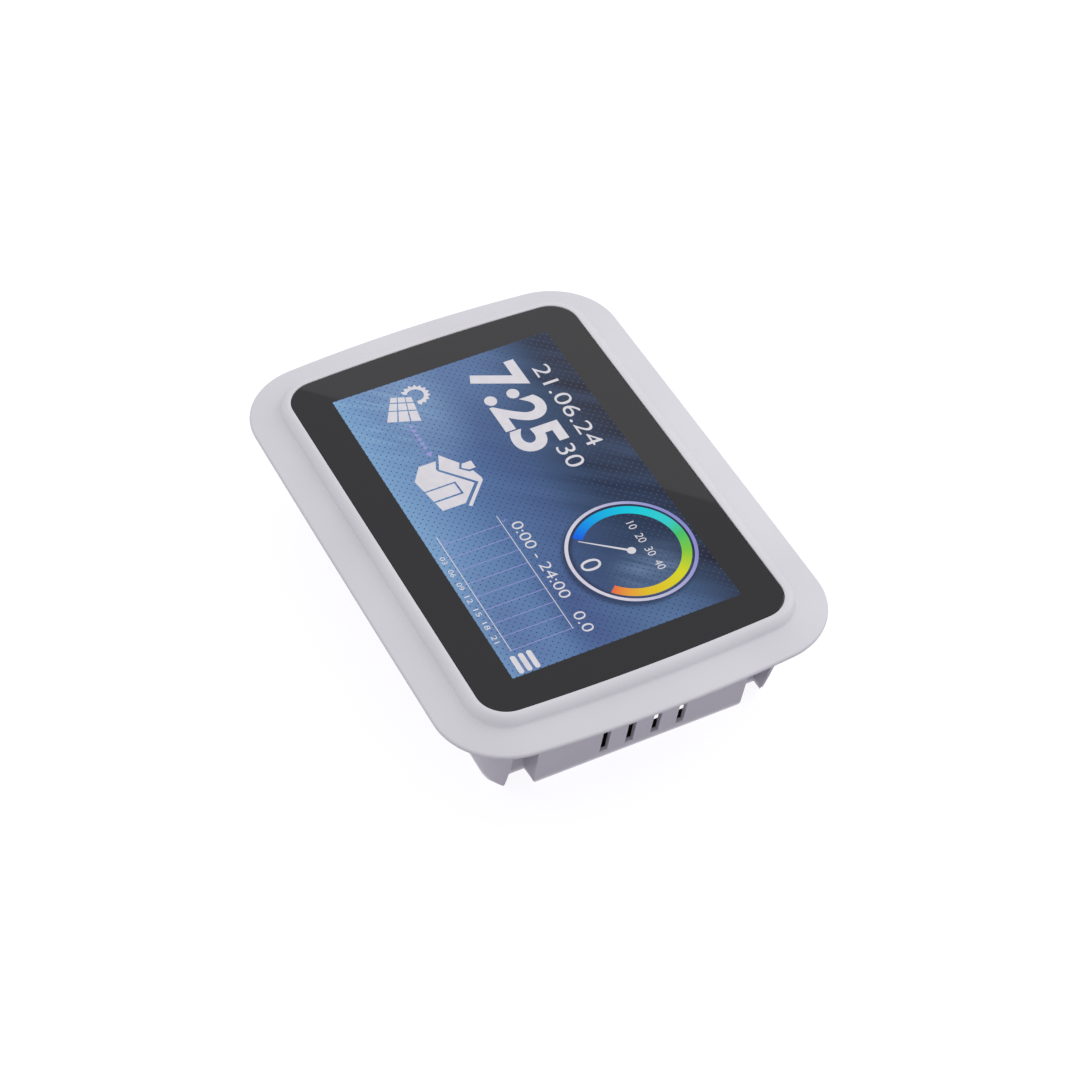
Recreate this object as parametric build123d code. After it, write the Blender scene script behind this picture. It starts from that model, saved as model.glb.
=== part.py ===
from build123d import *

# Solar monitoring gateway: a wall display with a bowed bezel and a deep, vented rear housing.
# Millimetres. The unit lies on its rear face: +Z is the way the screen faces, +X runs along the
# screen and +Y up it. The origin is the centre of the rear face.

import math
import os

# How far a cutting solid runs past the face that it cuts
MARGIN = 1.0
# Round features that the closed unit hides have this many flat sides: screws, holes and columns,
# and the larger cans on the board
HIDDEN_SIDES = 16
CAN_SIDES = 32

# Cover glass: half sizes, corner radius, and the outward bow of its short ends and long sides
GLASS_HALF_X = 65.2
GLASS_HALF_Y = 42.1
GLASS_RADIUS = 8.0
GLASS_END_BOW = 1.4
GLASS_SIDE_BOW = 0.02
GLASS_THICK = 1.1
GLASS_CHAMFER = 0.2
GLASS_FACE_Z = 33.3
GLASS_GAP = 0.1
ADHESIVE_THICK = 0.2
ADHESIVE_INSET = 0.6

# Bezel: measures run outward from the edge of the glass, drops downward from the glass face
END_BOW_GROWTH = 0.196
SIDE_BOW_GROWTH = 0.016
EDGE_ROUND = 0.7
EDGE_CENTRE_OUT = 10.94
EDGE_CENTRE_DROP = 4.46
FLANGE_ROOT_OUT = 3.5
FLANGE_ROOT_DROP = 2.45
FLANGE_SLOPE = 10.0
LIP_TOP_OUT = 0.45
LIP_TOP_RISE = 0.15
LIP_FOOT = (3.29, 2.23)
LIP_FOOT_OUT = 3.25
LIP_ANGLES = (20, 45, 70, 90)
BEZEL_UNDER_Z = GLASS_FACE_Z - EDGE_CENTRE_DROP - EDGE_ROUND
LEDGE_Z = GLASS_FACE_Z - GLASS_THICK - ADHESIVE_THICK

# Shallow pockets under the flange: their reach outward from the edge of the glass, and their ribs
POCKET_OUT = (4.4, 9.2)
POCKET_DEPTH = 0.9
POCKET_PITCH = 15.0
POCKET_RIB = 1.2
POCKETS_LONG = 7
POCKETS_SHORT = 4

# Display stack
DISPLAY_X = 118.0
DISPLAY_Y = 73.0
DISPLAY_GAP = 0.5
ACTIVE_X = 110.0
ACTIVE_Y = 63.6
TRAY_WALL = 0.6
TRAY_FLOOR = 0.5
TRAY_LIP = 0.3
TRAY_WINDOW_MARGIN = 1.2
TRAY_TOP_Z = LEDGE_Z - 0.05
TRAY_UNDER_Z = BEZEL_UNDER_Z + 0.1
SHEET_INSET = 0.8
LIGHT_GUIDE_THICK = 1.3
CELL_THICK = 1.4

# Display bracket, its openings and the screws that hold it to the bezel
BRACKET_THICK = 1.0
BRACKET_HALF_X = 53.0
BRACKET_HALF_Y = 36.0
BRACKET_TAB_X = 65.0
BRACKET_TAB_HALF_Y = 25.0
BRACKET_UNDER_Z = BEZEL_UNDER_Z - BRACKET_THICK
BRACKET_WINDOW = (26.0, 40.0)
BRACKET_WINDOW_X = 32.0
BRACKET_SLOT = (24.0, 2.4)
BRACKET_RIB = (80.0, 3.0)
BRACKET_RIB_Y = 25.0
BRACKET_RIB_DEEP = 0.8
BRACKET_SCREW_X = 62.3
BRACKET_SCREW_Y = 20.0
BRACKET_SCREW_R = 1.1
BRACKET_SCREW_HEAD_R = 2.2
BRACKET_SCREW_HEAD_HIGH = 1.5
BRACKET_SCREW_TIP_GAP = 0.4
BRACKET_HOLE_R = 1.4
BEZEL_PILOT_R = 1.15
BEZEL_PILOT_DEPTH = 2.9

# Rear housing: a straight-walled box, with a tapered block on each short end
WALL = 2.0
BOX_HALF_X = 56.3
BOX_HALF_Y = 39.6
BLOCK_HALF_Y = 29.5
BLOCK_FACE_X = 61.5
BLOCK_TAPER = 0.225
BLOCK_FACE_WALL = 1.0
HOUSING_TOP_Z = BEZEL_UNDER_Z

# Wings at its corners: a rounded envelope that grows with height, cut short of the blocks
WING_HALF_X = 64.0
WING_RADIUS = 12.0
WING_TAPER = 0.19
WING_START_Y = 36.5
WING_TIP_FLAT = 0.7
WING_HOLLOW_Z = 12.0

# Upright vent slots through the faces of both blocks
VENT_COUNT = 4
VENT_PITCH = 7.2
VENT_WIDTH = 2.2
VENT_CENTRE_Y = 0.6
VENT_Z = (2.9, 23.0)
VENT_REACH = (BLOCK_FACE_X - 3.5, BLOCK_FACE_X + 9.0)

# Columns in the housing that take the case screws
COLUMN_X = 49.3
COLUMN_Y = 32.6
COLUMN_R = 4.5
COLUMN_LOW_Z = 2.1
COLUMN_RIB = 2.0
COLUMN_RIB_DROP = 2.0
SCREW_SEAT_Z = 11.5
SCREW_HEAD_R = 2.75
SCREW_HEAD_HIGH = 2.2
SCREW_R = 1.5
SCREW_CLEAR_R = 1.6
SCREW_TIP_DROP = 0.8
COUNTERBORE_R = 3.2

# Main board, its standoffs and its cut-out for the touch cable
STANDOFF_HIGH = 6.0
STANDOFF_FLATS = 5.0
STANDOFF_BORE_R = 1.55
BOARD_THICK = 1.6
BOARD_X = 104.0
BOARD_Y = 71.0
BOARD_TOP_Z = BRACKET_UNDER_Z - STANDOFF_HIGH
BOARD_UNDER_Z = BOARD_TOP_Z - BOARD_THICK
BOARD_NOTCH = (9.0, 1.6)

# Flat cables: where each leaves the display or glass, how far it runs in over the board
CABLE_BEND = 1.2
DISPLAY_FLEX_Y = 34.0
DISPLAY_FLEX = (20.0, 0.2)
DISPLAY_FLEX_OVER_BOARD = 1.1
TOUCH_FLEX_AT = (12.0, -36.72)
TOUCH_FLEX = (7.0, 0.12)
TOUCH_FLEX_OVER_BOARD = 0.9
FLEX_RUN = 6.0
FLEX_GAP = 0.02

# Connectors on the front of the board: size, centre, and the slot that takes the cable
DISPLAY_CONNECTOR = (23.0, 4.2, 2.2)
DISPLAY_CONNECTOR_AT = (0.0, 26.1)
DISPLAY_SLOT = (20.6, 3.0, 0.4)
DISPLAY_SLOT_AT = (0.0, 27.5)
TOUCH_CONNECTOR = (9.0, 3.6, 1.8)
TOUCH_CONNECTOR_AT = (12.0, -29.0)
TOUCH_SLOT = (7.4, 2.2, 0.36)
TOUCH_SLOT_AT = (12.0, -29.7)

# Parts on the rear side of the board: centres, and sizes as length, width and height
PROCESSOR_AT = (-5.0, -8.0)
PROCESSOR = (17.0, 17.0, 1.6)
PROCESSOR_CHAMFER = 0.4
THERMAL_PAD = (16.0, 16.0, 0.5)
SINK_BASE = (24.0, 24.0, 2.0)
SINK_FIN = (1.2, 24.0, 6.0)
SINK_FINS = 7
SINK_FIN_PITCH = 3.7
MEMORY_PLACES = [(11.5, -1.0), (11.5, -15.5)]
MEMORY = (9.0, 13.0, 1.1)
RADIO_AT = (-40.0, 14.0)
RADIO = (18.0, 25.0, 0.8)
SHIELD_AT = (-40.0, 10.5)
SHIELD = (15.4, 15.4, 2.2)
SHIELD_SHEET = 0.3
ANTENNA_AT = (-46.0, -14.0)
ANTENNA = (5.0, 24.0, 0.4)
ANTENNA_STAND = 5.0
ANTENNA_LEG_WIDE = 3.6
ANTENNA_LEGS = (0.2, 6.0)
HOLDER_AT = (-18.0, 20.0)
HOLDER_R = 12.0
HOLDER_HIGH = 5.0
HOLDER_BORE_R = 10.2
HOLDER_FLOOR = 1.2
HOLDER_GAP = (12.0, 8.0)
COIN_R = 10.0
COIN_HIGH = 3.2
COIN_LIFT = 1.4
BUZZER_AT = (-30.0, -10.0)
BUZZER_R = 6.0
BUZZER_HIGH = 8.5
BUZZER_HOLE_R = 1.0
BUZZER_HOLE_DEEP = 1.5
CAPACITOR_PLACES = [(2.0, 28.6), (12.0, 28.6), (22.0, 28.6)]
CAPACITOR_R = 4.0
CAPACITOR_HIGH = 11.5
INDUCTOR_AT = (38.0, -27.0)
INDUCTOR = (12.0, 12.0, 6.0)
INDUCTOR_CORNER = 2.5
POWER_CHIP_PLACES = [(26.0, -29.0), (48.0, -14.0)]
POWER_CHIP = (6.0, 5.0, 1.5)
FUSE_AT = (40.0, -12.0)
FUSE_R = 4.2
FUSE_HIGH = 8.0

# Network jack: its mouth opens towards +X, with a stepped notch for the latch of the plug
JACK_X = (8.0, 29.0)
JACK_Y = (6.0, 22.0)
JACK_HIGH = 13.5
JACK_FLOOR = 3.6
JACK_MOUTH_DEEP = 14.0
JACK_MOUTH_WIDE = 11.8
JACK_MOUTH_HIGH = 8.0
JACK_LATCH = ((6.0, 1.4), (3.4, 2.6))

# Terminal block with wire entries towards +X and screws from the rear
TERMINAL_X = (17.0, 29.0)
TERMINAL_POLES = 4
TERMINAL_PITCH = 5.08
TERMINAL_FIRST_Y = -17.5
TERMINAL_HIGH = 11.0
TERMINAL_SLOPE = 2.5
ENTRY_DEEP = 6.0
ENTRY_WIDE = 3.0
ENTRY_Z = (5.0, 8.4)
TERMINAL_SCREW_R = 1.8
TERMINAL_BORE_R = 1.9
TERMINAL_BORE_DEEP = 4.0
TERMINAL_SCREW_SUNK = 1.6
DRIVE_SLOT = (4.0, 0.6)
DRIVE_SLOT_DEEP = 0.7

# Service port, open towards +X
PORT_AT = (48.2, 14.0)
PORT = (5.6, 7.5, 2.6)
PORT_SHEET = 0.3
PORT_TONGUE = (4.8, 4.0, 0.6)

# Wall plate with its cable opening and catches
PLATE_THICK = 2.0
PLATE_GAP = 0.15
PLATE_SCREW_SPAN = 83.3
PLATE_SCREW_R = 2.25
CABLE_X = (30.0, 57.8)
CABLE_Y = (4.5, 24.5)
CABLE_CORNER = 1.5
CATCH_X = 25.0
CATCH_WIDE = 10.0
CATCH_THICK = 1.6
CATCH_TOP_Z = 9.5
BARB_Z = (6.4, 8.0)
BARB_OUT = 0.6
BARB_LEAD = 0.2
BARB_ROOM = 0.3
CATCH_WINDOW_WIDE = 11.2

# Reset button and the switch that it presses
RESET_AT = (-22.0, -20.0)
RESET_TRAVEL = 0.5
RESET_STEM_R = 1.7
RESET_STEM_GAP = 0.15
RESET_CAP_R = 3.1
RESET_CAP_Z = (0.5, 4.5)
RESET_CAP_CHAMFER = 0.5
RESET_HOLE_R = 3.5
RESET_END_GAP = 0.3
SWITCH = (6.2, 6.2, 3.5)
SWITCH_BORE_DEEP = 1.8


def corners(x, y):
    """The four points (+-x, +-y)."""
    return [(i * x, j * y) for i in (-1, 1) for j in (-1, 1)]


def bowed_outline(out):
    """The glass outline grown outward by `out`: bowed ends, and sides that bow a little with it."""
    half_x = GLASS_HALF_X + out
    half_y = GLASS_HALF_Y + out
    end_bow = GLASS_END_BOW + END_BOW_GROWTH * out
    side_bow = GLASS_SIDE_BOW + SIDE_BOW_GROWTH * max(out, 0)
    x = half_x - end_bow
    y = half_y - side_bow
    with BuildSketch() as sketch:
        with BuildLine():
            ThreePointArc((x, -y), (half_x, 0), (x, y))
            ThreePointArc((x, y), (0, half_y), (-x, y))
            ThreePointArc((-x, y), (-half_x, 0), (-x, -y))
            ThreePointArc((-x, -y), (0, -half_y), (x, -y))
        make_face()
        fillet(sketch.vertices(), GLASS_RADIUS + out)
    return sketch.sketch


def slab(sketch, low, high):
    """A sketch raised from height low to height high."""
    return extrude(Pos(0, 0, low) * sketch, amount=high - low)


def block(size, low, high, at=(0, 0)):
    """A rectangular slab of a size (x, y) between two heights."""
    return slab(Pos(*at) * Rectangle(*size), low, high)


def span_block(x, y, z):
    """A box between two limits on each axis."""
    size = [b - a for a, b in (x, y, z)]
    middle = [(a + b) / 2 for a, b in (x, y, z)]
    return Pos(*middle) * Box(*size)


def rod(radius, low, high, at=(0, 0), sides=0):
    """A round bar between two heights, or a many-sided one if sides is given."""
    plan = RegularPolygon(radius, sides) if sides else Circle(radius)
    return slab(Pos(*at) * plan, low, high)


def rods(radius, low, high, places):
    """Equal hidden bars at several places."""
    return Part() + [rod(radius, low, high, at, HIDDEN_SIDES) for at in places]


def lower_edges(part):
    """The edges of the lowest face."""
    return part.edges().group_by(Axis.Z)[0]


def skin(sections):
    """A solid through bezel outlines, each given as (outward measure, drop)."""
    outlines = [Pos(0, 0, GLASS_FACE_Z - drop) * bowed_outline(out) for out, drop in sections]
    return loft(outlines, ruled=True)


def edge_sections():
    """The rounded outer edge of the flange, from its underside to where the slope begins."""
    turn = 90 - FLANGE_SLOPE
    return [
        (
            EDGE_CENTRE_OUT + EDGE_ROUND * math.cos(math.radians(a)),
            EDGE_CENTRE_DROP - EDGE_ROUND * math.sin(math.radians(a)),
        )
        for a in (-90, -45, 0, turn / 2, turn)
    ]


def lip_sections():
    """The raised lip: a small hollow at its foot, then a quarter of an ellipse over the top."""
    rise = FLANGE_ROOT_DROP + LIP_TOP_RISE
    run = LIP_FOOT_OUT - LIP_TOP_OUT
    sections = [(FLANGE_ROOT_OUT, FLANGE_ROOT_DROP), LIP_FOOT]
    for angle in LIP_ANGLES:
        a = math.radians(angle)
        sections.append((LIP_TOP_OUT + run * math.cos(a), FLANGE_ROOT_DROP - rise * math.sin(a)))
    return sections


def flange_pockets():
    """Pockets along the four sides of the flange's underside, with a rib between each two."""
    middle = sum(POCKET_OUT) / 2
    wide = POCKET_OUT[1] - POCKET_OUT[0]
    length = POCKET_PITCH - POCKET_RIB
    z = (BEZEL_UNDER_Z - MARGIN, BEZEL_UNDER_Z + POCKET_DEPTH)
    pockets = []
    for side in (-1, 1):
        for i in range(POCKETS_LONG):
            x = (i - (POCKETS_LONG - 1) / 2) * POCKET_PITCH
            pockets.append(block((length, wide), *z, at=(x, side * (GLASS_HALF_Y + middle))))
        for i in range(POCKETS_SHORT):
            y = (i - (POCKETS_SHORT - 1) / 2) * POCKET_PITCH
            bow = GLASS_END_BOW * (y / GLASS_HALF_Y) ** 2
            pockets.append(block((wide, length), *z, at=(side * (GLASS_HALF_X + middle - bow), y)))
    return Part() + pockets


def make_front_bezel():
    edge = edge_sections()
    lip = lip_sections()
    body = skin(edge) + skin([edge[-1], lip[0]]) + skin(lip)
    body -= slab(bowed_outline(GLASS_GAP), LEDGE_Z, GLASS_FACE_Z + MARGIN)
    opening = (DISPLAY_X + 2 * DISPLAY_GAP, DISPLAY_Y + 2 * DISPLAY_GAP)
    body -= block(opening, BEZEL_UNDER_Z - MARGIN, LEDGE_Z + MARGIN)
    body -= flange_pockets()
    places = corners(BRACKET_SCREW_X, BRACKET_SCREW_Y)
    return body - rods(BEZEL_PILOT_R, BEZEL_UNDER_Z - MARGIN, BEZEL_UNDER_Z + BEZEL_PILOT_DEPTH, places)


def make_touch_glass():
    glass = slab(bowed_outline(0), GLASS_FACE_Z - GLASS_THICK, GLASS_FACE_Z)
    return chamfer(glass.edges().group_by(Axis.Z)[-1], GLASS_CHAMFER)


def make_glass_adhesive():
    ring = bowed_outline(-ADHESIVE_INSET) - Rectangle(DISPLAY_X + 2 * SHEET_INSET, DISPLAY_Y + 2 * SHEET_INSET)
    return slab(ring, LEDGE_Z, LEDGE_Z + ADHESIVE_THICK)


def make_backlight_tray():
    tray = block((DISPLAY_X, DISPLAY_Y), TRAY_UNDER_Z, TRAY_TOP_Z)
    inside = (DISPLAY_X - 2 * TRAY_WALL, DISPLAY_Y - 2 * TRAY_WALL)
    tray -= block(inside, TRAY_UNDER_Z + TRAY_FLOOR, TRAY_TOP_Z - TRAY_LIP)
    window = (ACTIVE_X + 2 * TRAY_WINDOW_MARGIN, ACTIVE_Y + 2 * TRAY_WINDOW_MARGIN)
    return tray - block(window, TRAY_TOP_Z - MARGIN, TRAY_TOP_Z + MARGIN)


def display_sheet(low, high):
    """A full-size sheet of the display stack between two heights."""
    return block((DISPLAY_X - 2 * SHEET_INSET, DISPLAY_Y - 2 * SHEET_INSET), low, high)


def make_light_guide():
    low = TRAY_UNDER_Z + TRAY_FLOOR
    return display_sheet(low, low + LIGHT_GUIDE_THICK)


def make_lcd_cell():
    high = TRAY_TOP_Z - TRAY_LIP
    return display_sheet(high - CELL_THICK, high)


def make_display_bracket():
    low, high = BRACKET_UNDER_Z, BEZEL_UNDER_Z
    plate = Rectangle(2 * BRACKET_HALF_X, 2 * BRACKET_HALF_Y)
    plate += Rectangle(2 * BRACKET_TAB_X, 2 * BRACKET_TAB_HALF_Y)
    for x in (-BRACKET_WINDOW_X, BRACKET_WINDOW_X):
        plate -= Pos(x, 0) * Rectangle(*BRACKET_WINDOW)
    plate -= Pos(0, DISPLAY_FLEX_Y) * Rectangle(*BRACKET_SLOT)
    bracket = slab(plate, low, high)
    cut = (low - MARGIN, high + MARGIN)
    bracket -= rods(BRACKET_HOLE_R, *cut, corners(BRACKET_SCREW_X, BRACKET_SCREW_Y))
    bracket -= rods(STANDOFF_BORE_R, *cut, corners(COLUMN_X, COLUMN_Y))
    # Two stamped ribs stiffen the middle of the plate.
    for y in (-BRACKET_RIB_Y, BRACKET_RIB_Y):
        bracket += block(BRACKET_RIB, low - BRACKET_RIB_DEEP, low, at=(0, y))
    return bracket


def pan_screws(places, head_r, head_high, seat_z, shank_r, tip_z):
    """Screws driven from below, each a low head under a plain shank."""
    screws = []
    for at in places:
        head = rod(head_r, seat_z - head_high, seat_z, at, HIDDEN_SIDES)
        screws.append(head + rod(shank_r, seat_z, tip_z, at, HIDDEN_SIDES))
    return Compound(children=screws)


def make_bracket_screws():
    places = corners(BRACKET_SCREW_X, BRACKET_SCREW_Y)
    tip = BEZEL_UNDER_Z + BEZEL_PILOT_DEPTH - BRACKET_SCREW_TIP_GAP
    head = (BRACKET_SCREW_HEAD_R, BRACKET_SCREW_HEAD_HIGH)
    return pan_screws(places, *head, BRACKET_UNDER_Z, BRACKET_SCREW_R, tip)


def make_case_screws():
    places = corners(COLUMN_X, COLUMN_Y)
    tip = BRACKET_UNDER_Z - SCREW_TIP_DROP
    return pan_screws(places, SCREW_HEAD_R, SCREW_HEAD_HIGH, SCREW_SEAT_Z, SCREW_R, tip)


def make_board_standoffs():
    hexagon = RegularPolygon(STANDOFF_FLATS / 2, 6, major_radius=False)
    ring = hexagon - RegularPolygon(STANDOFF_BORE_R, HIDDEN_SIDES)
    places = corners(COLUMN_X, COLUMN_Y)
    return Compound(children=[slab(Pos(*at) * ring, BOARD_TOP_Z, BRACKET_UNDER_Z) for at in places])


def flat_cable(points, width, thickness, x):
    """A flat flexible cable of even thickness along points (y, z), centred on x."""
    path = FilletPolyline([Vector(0, y, z) for y, z in points], radius=CABLE_BEND)
    start = Plane(origin=path.position_at(0), z_dir=path.tangent_at(0), x_dir=(1, 0, 0))
    return Pos(x, 0, 0) * sweep(start * Rectangle(width, thickness), path=path)


def make_display_flex():
    y = DISPLAY_FLEX_Y
    low = BOARD_TOP_Z + DISPLAY_FLEX_OVER_BOARD
    points = [(y, TRAY_UNDER_Z - FLEX_GAP), (y, low), (y - FLEX_RUN, low)]
    return flat_cable(points, *DISPLAY_FLEX, 0)


def make_touch_flex():
    x, y = TOUCH_FLEX_AT
    low = BOARD_TOP_Z + TOUCH_FLEX_OVER_BOARD
    points = [(y, LEDGE_Z + ADHESIVE_THICK), (y, low), (y + FLEX_RUN, low)]
    return flat_cable(points, *TOUCH_FLEX, x)


def cable_connector(size, at, slot, slot_at, cable_over_board):
    """A low connector on the board, with a slot at the height of its cable."""
    shell = block(size[:2], BOARD_TOP_Z, BOARD_TOP_Z + size[2], at=at)
    middle = BOARD_TOP_Z + cable_over_board
    return shell - block(slot[:2], middle - slot[2] / 2, middle + slot[2] / 2, at=slot_at)


def make_display_connector():
    place = (DISPLAY_CONNECTOR, DISPLAY_CONNECTOR_AT)
    return cable_connector(*place, DISPLAY_SLOT, DISPLAY_SLOT_AT, DISPLAY_FLEX_OVER_BOARD)


def make_touch_connector():
    place = (TOUCH_CONNECTOR, TOUCH_CONNECTOR_AT)
    return cable_connector(*place, TOUCH_SLOT, TOUCH_SLOT_AT, TOUCH_FLEX_OVER_BOARD)


def make_main_board():
    cut = (BOARD_UNDER_Z - MARGIN, BOARD_TOP_Z + MARGIN)
    board = block((BOARD_X, BOARD_Y), BOARD_UNDER_Z, BOARD_TOP_Z)
    board -= rods(SCREW_CLEAR_R, *cut, corners(COLUMN_X, COLUMN_Y))
    return board - block(BOARD_NOTCH, *cut, at=(TOUCH_FLEX_AT[0], -BOARD_Y / 2))


def under_board(size, at, gap=0):
    """A block that hangs from the rear side of the board, or from what is `gap` thick under it."""
    high = BOARD_UNDER_Z - gap
    return block(size[:2], high - size[2], high, at=at)


def can(radius, high, at):
    """A round part that stands on the rear side of the board."""
    return rod(radius, BOARD_UNDER_Z - high, BOARD_UNDER_Z, at, CAN_SIDES)


def make_processor():
    return chamfer(lower_edges(under_board(PROCESSOR, PROCESSOR_AT)), PROCESSOR_CHAMFER)


def make_thermal_pad():
    return under_board(THERMAL_PAD, PROCESSOR_AT, gap=PROCESSOR[2])


def make_heat_sink():
    top = PROCESSOR[2] + THERMAL_PAD[2]
    sink = under_board(SINK_BASE, PROCESSOR_AT, gap=top)
    for i in range(SINK_FINS):
        x = PROCESSOR_AT[0] + (i - (SINK_FINS - 1) / 2) * SINK_FIN_PITCH
        sink += under_board(SINK_FIN, (x, PROCESSOR_AT[1]), gap=top + SINK_BASE[2])
    return sink


def make_memory_chips():
    return Compound(children=[under_board(MEMORY, at) for at in MEMORY_PLACES])


def make_wireless_module():
    return under_board(RADIO, RADIO_AT)


def make_shield_can():
    """A thin metal lid over the wireless module, open towards it."""
    x, y, high = SHIELD
    inside = (x - 2 * SHIELD_SHEET, y - 2 * SHIELD_SHEET, high - SHIELD_SHEET)
    return under_board(SHIELD, SHIELD_AT, gap=RADIO[2]) - under_board(inside, SHIELD_AT, gap=RADIO[2])


def make_antenna():
    """A folded strip of metal standing on two legs, open to the corner of the board."""
    x, y = ANTENNA_AT
    wide, long, thick = ANTENNA
    strip = under_board(ANTENNA, ANTENNA_AT, gap=ANTENNA_STAND)
    for inset in ANTENNA_LEGS:
        leg = (ANTENNA_LEG_WIDE, thick, ANTENNA_STAND)
        strip += under_board(leg, (x, y + long / 2 - inset))
    return strip


def make_coin_cell_holder():
    holder = can(HOLDER_R, HOLDER_HIGH, HOLDER_AT)
    cut = (BOARD_UNDER_Z - HOLDER_HIGH - MARGIN, BOARD_UNDER_Z - HOLDER_FLOOR)
    holder -= rod(HOLDER_BORE_R, *cut, HOLDER_AT, CAN_SIDES)
    return holder - block(HOLDER_GAP, *cut, at=(HOLDER_AT[0], HOLDER_AT[1] - HOLDER_R))


def make_coin_cell():
    high = BOARD_UNDER_Z - COIN_LIFT
    return rod(COIN_R, high - COIN_HIGH, high, HOLDER_AT, CAN_SIDES)


def make_buzzer():
    low = BOARD_UNDER_Z - BUZZER_HIGH
    hole = rod(BUZZER_HOLE_R, low - MARGIN, low + BUZZER_HOLE_DEEP, BUZZER_AT, HIDDEN_SIDES)
    return can(BUZZER_R, BUZZER_HIGH, BUZZER_AT) - hole


def make_capacitors():
    return Compound(children=[can(CAPACITOR_R, CAPACITOR_HIGH, at) for at in CAPACITOR_PLACES])


def make_power_inductor():
    body = under_board(INDUCTOR, INDUCTOR_AT)
    return chamfer(body.edges().filter_by(Axis.Z), INDUCTOR_CORNER)


def make_power_chips():
    return Compound(children=[under_board(POWER_CHIP, at) for at in POWER_CHIP_PLACES])


def make_fuse():
    return can(FUSE_R, FUSE_HIGH, FUSE_AT)


def make_ethernet_jack():
    low = BOARD_UNDER_Z - JACK_HIGH
    centre = sum(JACK_Y) / 2
    mouth_x = (JACK_X[1] - JACK_MOUTH_DEEP, JACK_X[1] + MARGIN)
    mouth_low = low + JACK_FLOOR
    half = JACK_MOUTH_WIDE / 2
    body = span_block(JACK_X, JACK_Y, (low, BOARD_UNDER_Z))
    body -= span_block(mouth_x, (centre - half, centre + half), (mouth_low, mouth_low + JACK_MOUTH_HIGH))
    for wide, deep in JACK_LATCH:
        latch_z = (mouth_low - deep, mouth_low + MARGIN)
        body -= span_block(mouth_x, (centre - wide / 2, centre + wide / 2), latch_z)
    return body


def terminal_places():
    """Centres of the poles."""
    middle_x = sum(TERMINAL_X) / 2
    return [(middle_x, TERMINAL_FIRST_Y + i * TERMINAL_PITCH) for i in range(TERMINAL_POLES)]


def make_terminal_block():
    low = BOARD_UNDER_Z - TERMINAL_HIGH
    places = terminal_places()
    y = (places[0][1] - TERMINAL_PITCH / 2, places[-1][1] + TERMINAL_PITCH / 2)
    with BuildSketch(Plane.XZ) as profile:
        with BuildLine():
            Polyline(
                (TERMINAL_X[0], BOARD_UNDER_Z),
                (TERMINAL_X[0], low + TERMINAL_SLOPE),
                (TERMINAL_X[0] + TERMINAL_SLOPE, low),
                (TERMINAL_X[1] - TERMINAL_SLOPE, low),
                (TERMINAL_X[1], low + TERMINAL_SLOPE),
                (TERMINAL_X[1], BOARD_UNDER_Z),
                close=True,
            )
        make_face()
    body = Pos(0, y[1], 0) * extrude(profile.sketch, amount=y[1] - y[0])
    mouth = (TERMINAL_X[1] - ENTRY_DEEP, TERMINAL_X[1] + MARGIN)
    entry_z = (low + ENTRY_Z[0], low + ENTRY_Z[1])
    for at in places:
        body -= span_block(mouth, (at[1] - ENTRY_WIDE / 2, at[1] + ENTRY_WIDE / 2), entry_z)
    return body - rods(TERMINAL_BORE_R, low - MARGIN, low + TERMINAL_BORE_DEEP, places)


def make_terminal_screws():
    low = BOARD_UNDER_Z - TERMINAL_HIGH
    head_z = low + TERMINAL_SCREW_SUNK
    screws = []
    for at in terminal_places():
        screw = rod(TERMINAL_SCREW_R, head_z, low + TERMINAL_BORE_DEEP, at, HIDDEN_SIDES)
        screws.append(screw - block(DRIVE_SLOT, low, head_z + DRIVE_SLOT_DEEP, at=at))
    return Compound(children=screws)


def make_service_port():
    x, y, high = PORT
    middle = BOARD_UNDER_Z - high / 2
    mouth = Box(x, y - 2 * PORT_SHEET, high - 2 * PORT_SHEET)
    shell = under_board(PORT, PORT_AT) - Pos(PORT_AT[0] + 2 * PORT_SHEET, PORT_AT[1], middle) * mouth
    return shell + Pos(*PORT_AT, middle) * Box(*PORT_TONGUE)


def make_reset_switch():
    low = BOARD_UNDER_Z - SWITCH[2]
    bore = rod(RESET_STEM_R + RESET_STEM_GAP, low - MARGIN, low + SWITCH_BORE_DEEP, RESET_AT)
    return under_board(SWITCH, RESET_AT) - bore


def make_reset_button():
    stem_top = BOARD_UNDER_Z - SWITCH[2] + SWITCH_BORE_DEEP - RESET_TRAVEL - RESET_END_GAP
    cap = rod(RESET_CAP_R, *RESET_CAP_Z, RESET_AT)
    cap = chamfer(lower_edges(cap), RESET_CAP_CHAMFER)
    return cap + rod(RESET_STEM_R, RESET_CAP_Z[1], stem_top, RESET_AT)


def box_outline(inset=0):
    """Plan of the straight-walled box, or of its inside when inset by the wall."""
    half_y = BOX_HALF_Y - inset
    rounded = RectangleRounded(2 * (WING_HALF_X - inset), 2 * half_y, WING_RADIUS - inset)
    return rounded & Rectangle(2 * (BOX_HALF_X - inset), 3 * half_y)


def end_blocks(side_wall=0, face_wall=0, low=0.0, high=HOUSING_TOP_Z):
    """The tapered block on each short end: its face leans out as it rises."""
    low_x, high_x = [BLOCK_FACE_X - face_wall + BLOCK_TAPER * z for z in (low, high)]
    with BuildSketch(Plane.XZ) as profile:
        with BuildLine():
            Polyline((-low_x, low), (low_x, low), (high_x, high), (-high_x, high), close=True)
        make_face()
    return extrude(profile.sketch, amount=BLOCK_HALF_Y - side_wall, both=True)


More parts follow.
